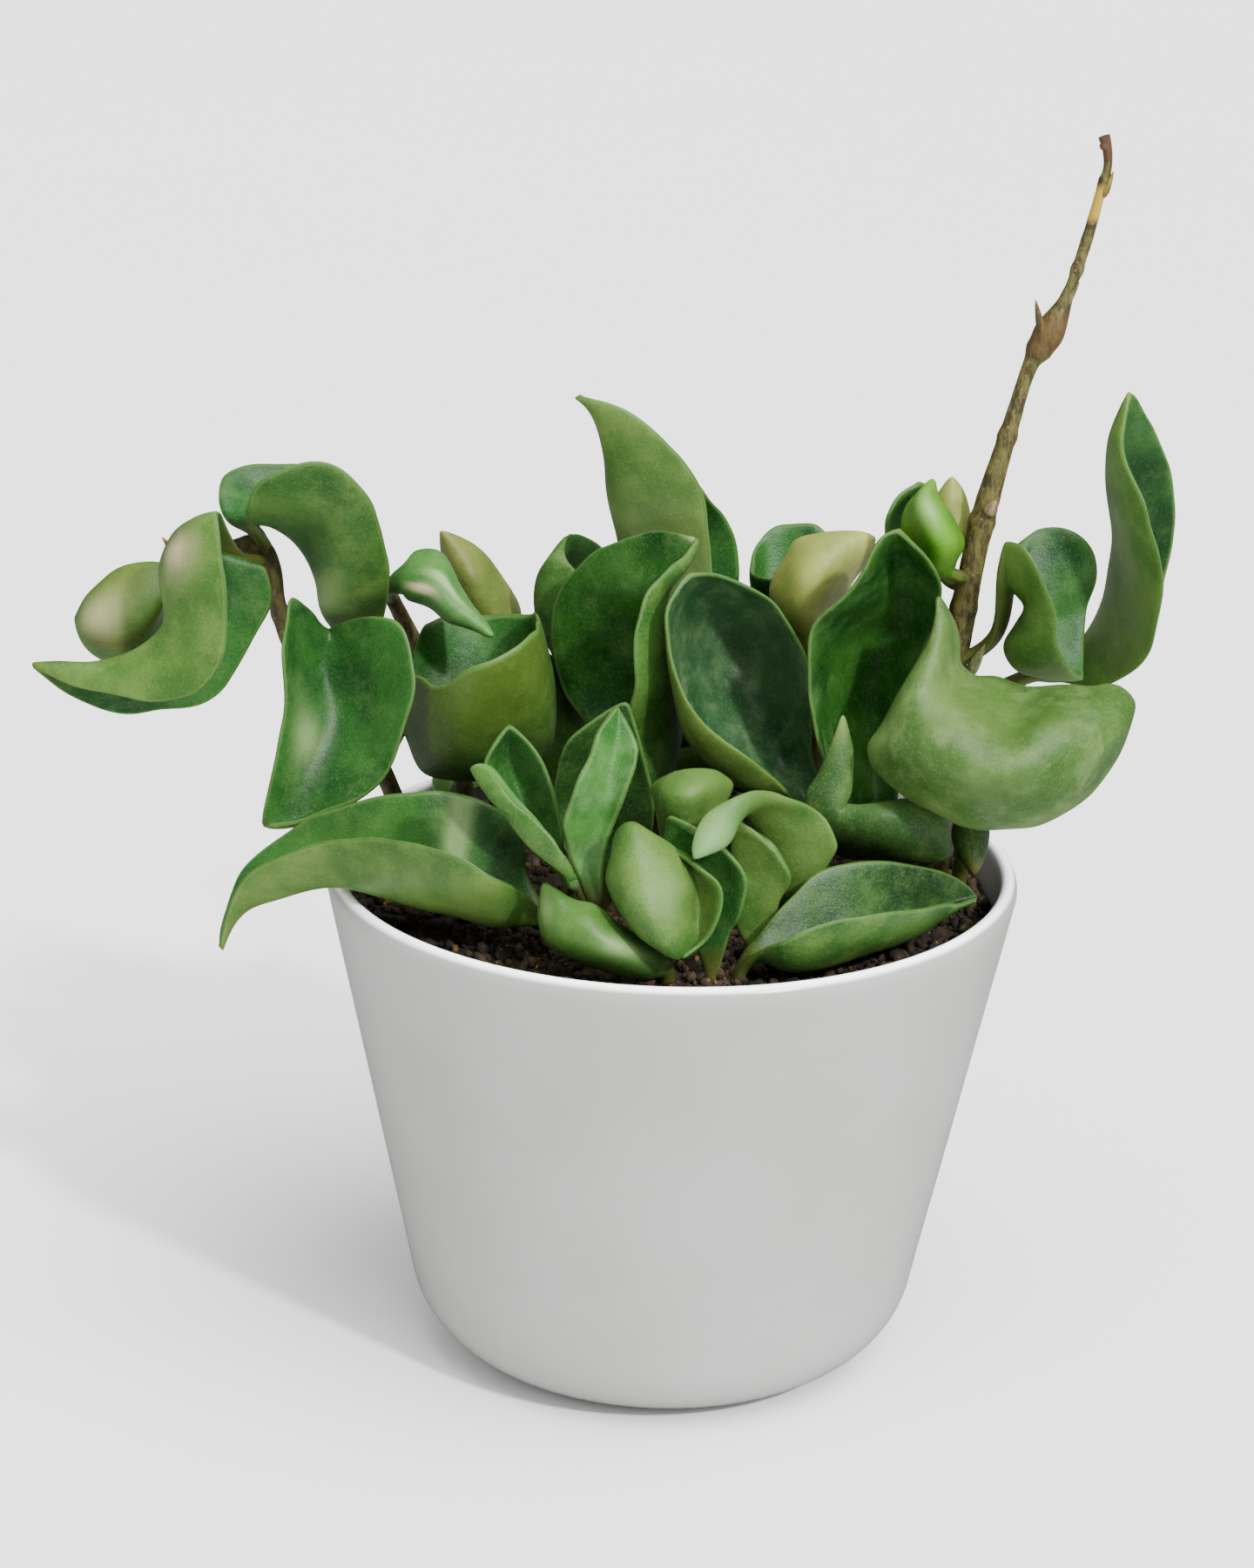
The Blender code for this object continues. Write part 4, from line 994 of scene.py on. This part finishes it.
# The tallest leaves stand in the middle: one folded like a sail, one shaded behind the front ones, a dark
# oval bowl, a tall pointed one and three round-topped ones. A dried tan sheath is left between them.
SHADED_TOP = top_skin("shaded_green_top", screen(58, 98, 50), screen(28, 60, 30))
BLUISH_TOP = top_skin("bluish_green_top", screen(74, 108, 74), screen(44, 84, 50), 0.08)
BEIGE_UNDER = under_skin("beige_green_under", screen(190, 190, 138), screen(152, 164, 96))
DRY = leaf_skin(
    "dried_sheath_tan", screen(206, 186, 144), screen(160, 130, 88), screen(180, 150, 104),
    "top_marks", 0.7, 0.85,
)
MIDDLE_LEAVES = {
    "folded_leaf": {
        "seat": ("centre_stem", (-2, 11, 102)),
        "petiole": [(-3, 5, 104)],
        "rows": [
            [(-10, 3, 114), (-2, -2, 112), (-6, -9, 115)],
            [(-18, 8, 122), (0, 0, 122), (-9, -12, 125)],
            [(-22, 12, 128), (-1, 1, 132), (-8, -16, 136)],
            [(-24, 14, 137), (-3, 1, 142), (-8, -16, 146)],
            [(-22, 14, 145), (-4, 0, 149), (-6, -12, 153)],
            [(-15, 11, 154), (-1, 0, 154), (-2, -7, 156)],
            [(-6, 6, 159), (1, 0, 157), (1, -3, 158)],
        ],
        "tip": (3, 0, 160),
        "skins": (DEEP_TOP, SOFT_UNDER),
        "top_marks": [(0, 1, 1, 0.04, HIGHLIGHT_AND_SPOT_WHITE, 0.8)],
    },
    "shaded_leaf": {
        "petiole": [(-13, -13, 82), (-13, -13, 92)],
        "rows": [
            [(-18, -17, 101), (-13, -14, 100), (-8, -17, 101)],
            [(-22, -17, 109), (-13, -13, 107), (-4, -16, 108)],
            [(-22, -17, 118), (-13, -14, 117), (-4, -17, 117)],
            [(-19, -19, 127), (-12, -17, 126), (-6, -19, 126)],
        ],
        "tip": (-9, -19, 134),
        "skins": (SHADED_TOP, SOFT_UNDER),
    },
    "oval_leaf": {
        "petiole": [(25, -6, 82), (25, -7, 92), (25, -8, 104)],
        "rows": [
            [(21, -12, 115), (22, -10, 113), (24, -9, 112), (26, -9, 113), (27, -9, 114)],
            [(13, -18, 124), (12, -12, 116), (19, -1, 116), (23, -2, 118), (25, -6, 121)],
            [(5, -20, 131), (4, -12, 124), (14, 2, 125), (21, 0, 127), (25, -6, 132)],
            [(0, -20, 139), (1, -10, 133), (9, 5, 134), (18, 3, 136), (23, -6, 141)],
            [(-2, -18, 147), (0, -8, 144), (5, 3, 142), (13, 2, 145), (17, -7, 150)],
            [(-2, -16, 152), (0, -10, 151), (3, -3, 149), (7, -3, 151), (10, -8, 154)],
        ],
        "tip": (2, -11, 156),
        "skins": (BLUISH_TOP, OLIVE_UNDER),
        "under_marks": [(-0.8, 0.3, 0.5, 0.4, screen(134, 160, 86), 0.5)],
    },
    "tall_back_leaf": {
        "seat": ("centre_stem", (-2, 12, 114)),
        "petiole": [(1, 18, 121)],
        "rows": [
            [(3, 14, 131), (-2, 15, 130), (4, 22, 128)],
            [(6, 9, 145), (-9, 18, 142), (11, 27, 138)],
            [(6, 9, 155), (-11, 19, 154), (12, 29, 147)],
            [(4, 9, 165), (-13, 18, 163), (9, 27, 156)],
            [(-1, 10, 173), (-14, 16, 171), (3, 22, 165)],
            [(-9, 11, 180), (-16, 14, 179), (-7, 18, 176)],
        ],
        "tip": (-20, 13, 183),
        "skins": (MID_TOP, YELLOW_UNDER),
        "under_marks": [(-0.6, 0.25, 0.5, 0.2, screen(150, 164, 122), 0.5)],
    },
    "round_back_leaf": {
        "seat": ("right_back_stem", (28, 18, 126)),
        "petiole": [(32, 23, 131)],
        "rows": [
            [(31, 20, 144), (32, 26, 140), (32, 31, 144)],
            [(25, 17, 147), (25, 26, 138), (27, 34, 153)],
            [(19, 16, 148), (20, 26, 137), (20, 35, 153)],
            [(15, 17, 148), (16, 26, 140), (16, 33, 151)],
        ],
        "tip": (14, 26, 147),
        "skins": (MID_TOP, MID_TOP),
    },
    "pale_back_leaf": {
        "seat": ("right_back_stem", (27, 17, 116)),
        "petiole": [(26, 9, 127)],
        "rows": [
            [(26, 7, 138), (24, 4, 139), (22, 7, 138)],
            [(30, 9, 144), (23, 0, 146), (19, 9, 143)],
            [(33, 10, 150), (25, -2, 153), (17, 10, 147)],
            [(36, 11, 154), (27, 0, 157), (19, 11, 152)],
            [(36, 11, 156), (31, 5, 159), (23, 11, 157)],
        ],
        "tip": (36, 10, 157),
        "skins": (MID_TOP, BEIGE_UNDER),
        "under_marks": [(0.6, 0.6, 0.5, 0.3, screen(150, 170, 92), 0.6)],
    },
    "upright_right_leaf": {
        "petiole": [(37, -8, 82), (37, -8, 92), (37, -8, 102)],
        "rows": [
            [(33, -12, 112), (37, -6, 108), (41, -8, 111)],
            [(26, -14, 124), (35, 0, 118), (42, -6, 119)],
            [(24, -15, 136), (34, 3, 130), (43, -6, 131)],
            [(24, -16, 148), (36, 4, 141), (46, -5, 142)],
            [(31, -17, 156), (40, 0, 149), (48, -6, 149)],
            [(34, -16, 163), (40, -4, 158), (46, -11, 158)],
        ],
        "tip": (39, -14, 166),
        "skins": (DEEP_TOP, SOFT_UNDER),
    },
    "dried_sheath": {
        "petiole": [(26, 8, 82), (26, 6, 100), (24, 3, 120)],
        "rows": [
            [(22, 2, 128), (24, 1, 128), (26, 2, 128)],
            [(23, 3, 134), (25, 2, 134), (27, 3, 134)],
        ],
        "tip": (28, 4, 142),
        "skins": (DRY, DRY),
        "finish": "dried_leaf",
    },
}
build_leaves(MIDDLE_LEAVES)


# On the right the vine carries a broad drooping lobe, a fat bud between two small hoods, a tight curl on a
# stout arched petiole and a tall leaf that stands up beside it.
LOBE_UNDER = under_skin("lobe_green_under", screen(112, 144, 82), screen(74, 112, 54), 0.08)
BUD_UNDER = under_skin("bud_bright_green", screen(122, 178, 66), screen(80, 142, 40))
VINE_LEAVES = {
    "right_lobe_leaf": {
        "seat": ("vine_stem", (52, 6, 138)),
        "petiole": [(51, 0, 140)],
        "rows": [
            [(47, -12, 153), (50, -9, 146), (52, -4, 139)],
            [(45, -15, 146), (47, -18, 141), (53, -6, 138)],
            [(39, -19, 134), (45, -26, 136), (55, -8, 137)],
            [(34, -22, 127), (49, -32, 133), (58, -9, 137)],
            [(41, -24, 119), (55, -36, 129), (64, -11, 136)],
            [(53, -26, 114), (62, -36, 130), (70, -13, 137)],
            [(66, -25, 114), (70, -32, 130), (75, -14, 137)],
            [(77, -20, 121), (78, -24, 132), (80, -14, 138)],
        ],
        "tip": (83, -16, 135),
        "skins": (DEEP_TOP, LOBE_UNDER),
        "under_marks": [
            # The first, pale mark is a painted highlight.
            (0.1, 0.3, 0.3, 0.12, screen(140, 160, 106), 0.45),
            (-0.3, 0.55, 0.3, 0.12, screen(70, 106, 44), 0.5),
            (0.6, 0.5, 0.3, 0.3, screen(96, 132, 62), 0.5),
        ],
        "petiole_width": 0.0040,
        "lumps": 2.2,
    },
    "bud_leaf": {
        "seat": ("vine_stem", (54, 6, 151)),
        "petiole": [(50, 3, 153)],
        "rows": [
            [(50, 1, 155), (47, -1, 155), (45, 1, 156)],
            [(52, 2, 159), (47, -6, 161), (43, 2, 159)],
            [(50, 4, 163), (45, -6, 166), (41, 3, 162)],
            [(47, 4, 167), (44, -3, 169), (42, 3, 166)],
        ],
        "tip": (46, 3, 171),
        "skins": (BRIGHT_TOP, BUD_UNDER),
        # The whitish patch is a painted highlight on the bud.
        "under_marks": [(0, 0.6, 0.3, 0.2, HIGHLIGHT_AND_SPOT_WHITE, 0.3)],
    },
    "beige_bud_leaf": {
        "seat": ("vine_stem", (54, 6, 150)),
        "petiole": [(50, 11, 150)],
        "rows": [
            [(52, 12, 154), (50, 10, 154), (48, 12, 154)],
            [(54, 12, 159), (51, 9, 159), (47, 12, 159)],
            [(53, 13, 164), (50, 10, 165), (47, 12, 164)],
        ],
        "tip": (50, 12, 169),
        "skins": (BEIGE_UNDER, BEIGE_UNDER),
    },
    "dark_bud_leaf": {
        "seat": ("vine_stem", (52, 6, 142)),
        "petiole": [(46, 12, 145)],
        "rows": [
            [(40, 8, 152), (43, 11, 151), (46, 12, 152)],
            [(38, 5, 158), (42, 12, 156), (48, 14, 158)],
            [(38, 4, 164), (42, 11, 161), (48, 14, 164)],
        ],
        "tip": (44, 8, 169),
        "skins": (MID_TOP, SOFT_UNDER),
    },
    "curl_leaf": {
        "seat": ("vine_stem", (51, 6, 135)),
        "petiole": [(59, 4, 141)],
        "rows": [
            [(62, 9, 157), (61, 2, 153), (58, -5, 161)],
            [(67, 11, 160), (61, 3, 152), (62, -9, 162)],
            [(74, 10, 159), (65, 3, 148), (65, -11, 157)],
            [(78, 8, 153), (63, 2, 144), (68, -11, 151)],
            [(76, 7, 146), (61, 1, 140), (69, -10, 145)],
            [(75, 4, 140), (64, 0, 136), (71, -8, 140)],
        ],
        "tip": (75, -1, 135),
        "skins": (MID_TOP, YELLOW_UNDER),
        "petiole_width": 0.0046,
    },
    "tall_right_leaf": {
        "seat": ("vine_stem", (51, 6, 127)),
        "petiole": [(61, 10, 129), (67, 12, 131)],
        "rows": [
            [(73, 10, 130), (70, 13, 131), (73, 17, 131)],
            [(80, 3, 132), (77, 17, 136), (83, 23, 135)],
            [(86, -5, 140), (81, 20, 143), (90, 25, 140)],
            [(88, -7, 150), (82, 20, 152), (93, 24, 147)],
            [(87, -7, 160), (81, 16, 161), (93, 20, 159)],
            [(84, -6, 169), (79, 10, 172), (91, 15, 170)],
            [(80, -2, 178), (79, 5, 180), (87, 9, 179)],
        ],
        "tip": (81, 3, 188),
        "skins": (MID_TOP, YELLOW_UNDER),
        "petiole_width": 0.0038,
        "under_marks": [(0.5, 0.3, 0.5, 0.14, screen(200, 188, 136), 0.6)],
    },
}
build_leaves(VINE_LEAVES)


# At the right front a flap with a dried, pointed end, a small leaf with a burnt tip, and a broad leaf that
# lies inside the lip, all growing from the soil.
FRONT_RIGHT_LEAVES = {
    "flap_leaf": {
        "petiole": [(46, -9, 82), (46, -9, 95), (47, -12, 102)],
        "rows": [
            [(49, -17, 112), (50, -19, 109), (50, -16, 104)],
            [(45, -19, 117), (44, -23, 112), (44, -18, 104)],
            [(37, -22, 117), (37, -25, 113), (37, -19, 105)],
            [(31, -20, 116), (30, -23, 113), (29, -19, 106)],
            [(32, -20, 119), (28, -22, 117), (23, -21, 114)],
            [(32, -18, 125), (29, -20, 123), (26, -19, 121)],
        ],
        "tip": (30, -17, 132),
        "skins": (DUSTY_TOP, OLIVE_UNDER),
        "under_marks": [
            (0, 1, 1, 0.1, screen(150, 172, 112), 0.8),
            (-0.9, 0.4, 0.3, 0.4, screen(112, 148, 84), 0.6),
            # The dark patch is painted shade in the middle of the under face.
            (0.5, 0.4, 0.6, 0.3, screen(36, 62, 24), 0.7),
        ],
    },
    "dry_tip_leaf": {
        "petiole": [(53, -3, 84), (54, -3, 96), (55, -5, 107)],
        "rows": [
            [(52, -8, 109), (55, -10, 110), (58, -7, 108)],
            [(52, -10, 105), (55, -13, 106), (58, -9, 104)],
        ],
        "tip": (56, -13, 100),
        "skins": (MID_TOP, OLIVE_UNDER),
        "under_marks": [(0, 1, 1, 0.2, BROWN, 0.9)],
    },
    "front_right_leaf": {
        "petiole": [(12, -43, 82), (12, -44, 92)],
        "rows": [
            [(14, -43, 98), (15, -46, 96), (15, -49, 98)],
            [(19, -40, 103), (20, -46, 94), (20, -53, 102)],
            [(25, -35, 108), (27, -43, 94), (26, -52, 105)],
            [(33, -32, 109), (35, -38, 95), (35, -49, 106)],
            [(44, -27, 107), (44, -31, 96), (43, -42, 104)],
            [(51, -22, 103), (50, -24, 97), (50, -31, 101)],
        ],
        "tip": (56, -21, 98),
        "skins": (SHADED_TOP, SOFT_UNDER),
        "top_marks": [(0, 0, 1, 0.04, OLIVE, 0.5)],
    },
}
build_leaves(FRONT_RIGHT_LEAVES)


# Four more leaves stand round the back of the pot, of the same kinds as the front ones: each is the form of
# a front leaf turned about the pot, resized and moved.
SOIL_TOP = 90.5
BACK_LEAVES = {
    "back_right_leaf": (FRONT_RIGHT_LEAVES["front_right_leaf"], 110, 0.95, (-2, -2, 0)),
    "back_middle_leaf": (MIDDLE_LEAVES["oval_leaf"], 165, 0.65, (12, 34, 0)),
    "back_left_leaf": (FRONT_LEFT_LEAVES["base_leaf"], 235, 1.2, (2, -2, 0)),
    "upright_back_leaf": (MIDDLE_LEAVES["shaded_leaf"], 190, 0.93, (-34, 7, 0)),
}


def turned_leaf(leaf, degrees, size, shift):
    """A front leaf's petiole, rows and tip, turned and moved, planted in the same soil."""
    turn = Matrix.Rotation(math.radians(degrees), 3, "Z")
    ground = Vector((0, 0, SOIL_TOP))

    def moved(point):
        return turn @ ((Vector(point) - ground) * size) + ground + Vector(shift)

    return {
        **leaf,
        "petiole": [moved(point) for point in leaf["petiole"]],
        "rows": [[moved(point) for point in row] for row in leaf["rows"]],
        "tip": moved(leaf["tip"]),
    }


build_leaves({name: turned_leaf(*form) for name, form in BACK_LEAVES.items()})


# The plant stands on a seamless pale sheet that runs on into the background. A broad soft light hangs over
# it, a smaller one from the right front throws a faint shadow to the left, and pale surroundings fill in.
FLOOR_SIZE = 6.0
LIGHTS = {
    "overhead_softbox": ((0.25, -0.3, 1), math.radians(50), 4.7),
    "front_key": ((0.5, -0.62, 0.62), math.radians(4), 3.6),
}
SURROUND_STRENGTH = 0.86
MIRRORED = 0.12


def build_floor():
    bm = bmesh.new()
    bmesh.ops.create_grid(bm, x_segments=2, y_segments=2, size=FLOOR_SIZE / 2)
    mesh = bpy.data.meshes.new("pale_floor")
    bm.to_mesh(mesh)
    bm.free()
    floor = bpy.data.objects.new("pale_floor", mesh)
    made, tree, shader = new_material("pale_floor")
    place = add_node(tree, "ShaderNodeTexCoord").outputs["Object"]
    cloud = add_node(tree, "ShaderNodeTexNoise", {"Vector": place, "Scale": 3})
    tone = blend(tree, cloud.outputs["Fac"], (0.95, 0.95, 0.95, 1), (0.97, 0.97, 0.97, 1))
    glossy = add_node(tree, "ShaderNodeLightPath").outputs["Is Glossy Ray"]
    tone = blend(tree, glossy, tone, (MIRRORED, MIRRORED, MIRRORED, 1))
    tree.links.new(tone, shader.inputs["Base Color"])
    shader.inputs["Roughness"].default_value = 0.9
    mesh.materials.append(made)
    bpy.context.collection.objects.link(floor)


def build_lights():
    for name, (place, softness, strength) in LIGHTS.items():
        light = bpy.data.lights.new(name, "SUN")
        light.angle = softness
        light.energy = strength
        lamp = bpy.data.objects.new(name, light)
        lamp.location = place
        lamp.rotation_euler = Vector(place).to_track_quat("Z", "Y").to_euler()
        bpy.context.collection.objects.link(lamp)
    world = bpy.data.worlds.new("pale_surroundings")
    world.use_nodes = True
    sky = world.node_tree.nodes["Background"]
    sky.inputs["Strength"].default_value = SURROUND_STRENGTH
    glossy = add_node(world.node_tree, "ShaderNodeLightPath").outputs["Is Glossy Ray"]
    pale = blend(world.node_tree, glossy, (1, 1, 1, 1), (MIRRORED, MIRRORED, MIRRORED, 1))
    world.node_tree.links.new(pale, sky.inputs["Color"])
    bpy.context.scene.world = world


build_floor()
build_lights()


# The camera looks slightly down at the plant from the front, from a little under three quarters of a metre.
LENS = 87.68
SENSOR = 36
LOOKING_DOWN = math.radians(19.456)
ROLL = math.radians(1.29)
CAMERA_DISTANCE = 0.714
CAMERA_TARGET = Vector((-0.008723, 0, 0.11167))


def build_camera():
    forward = Vector((0, math.cos(LOOKING_DOWN), -math.sin(LOOKING_DOWN)))
    level_up = Vector((0, math.sin(LOOKING_DOWN), math.cos(LOOKING_DOWN)))
    right = Vector((math.cos(ROLL), 0, 0)) + level_up * math.sin(ROLL)
    up = level_up * math.cos(ROLL) - Vector((math.sin(ROLL), 0, 0))
    lens = bpy.data.cameras.new("front_camera")
    lens.lens = LENS
    lens.sensor_width = SENSOR
    camera = bpy.data.objects.new("front_camera", lens)
    turn = Matrix((right, up, -forward)).transposed().to_4x4()
    camera.matrix_world = Matrix.Translation(CAMERA_TARGET - forward * CAMERA_DISTANCE) @ turn
    bpy.context.collection.objects.link(camera)
    bpy.context.scene.camera = camera


build_camera()
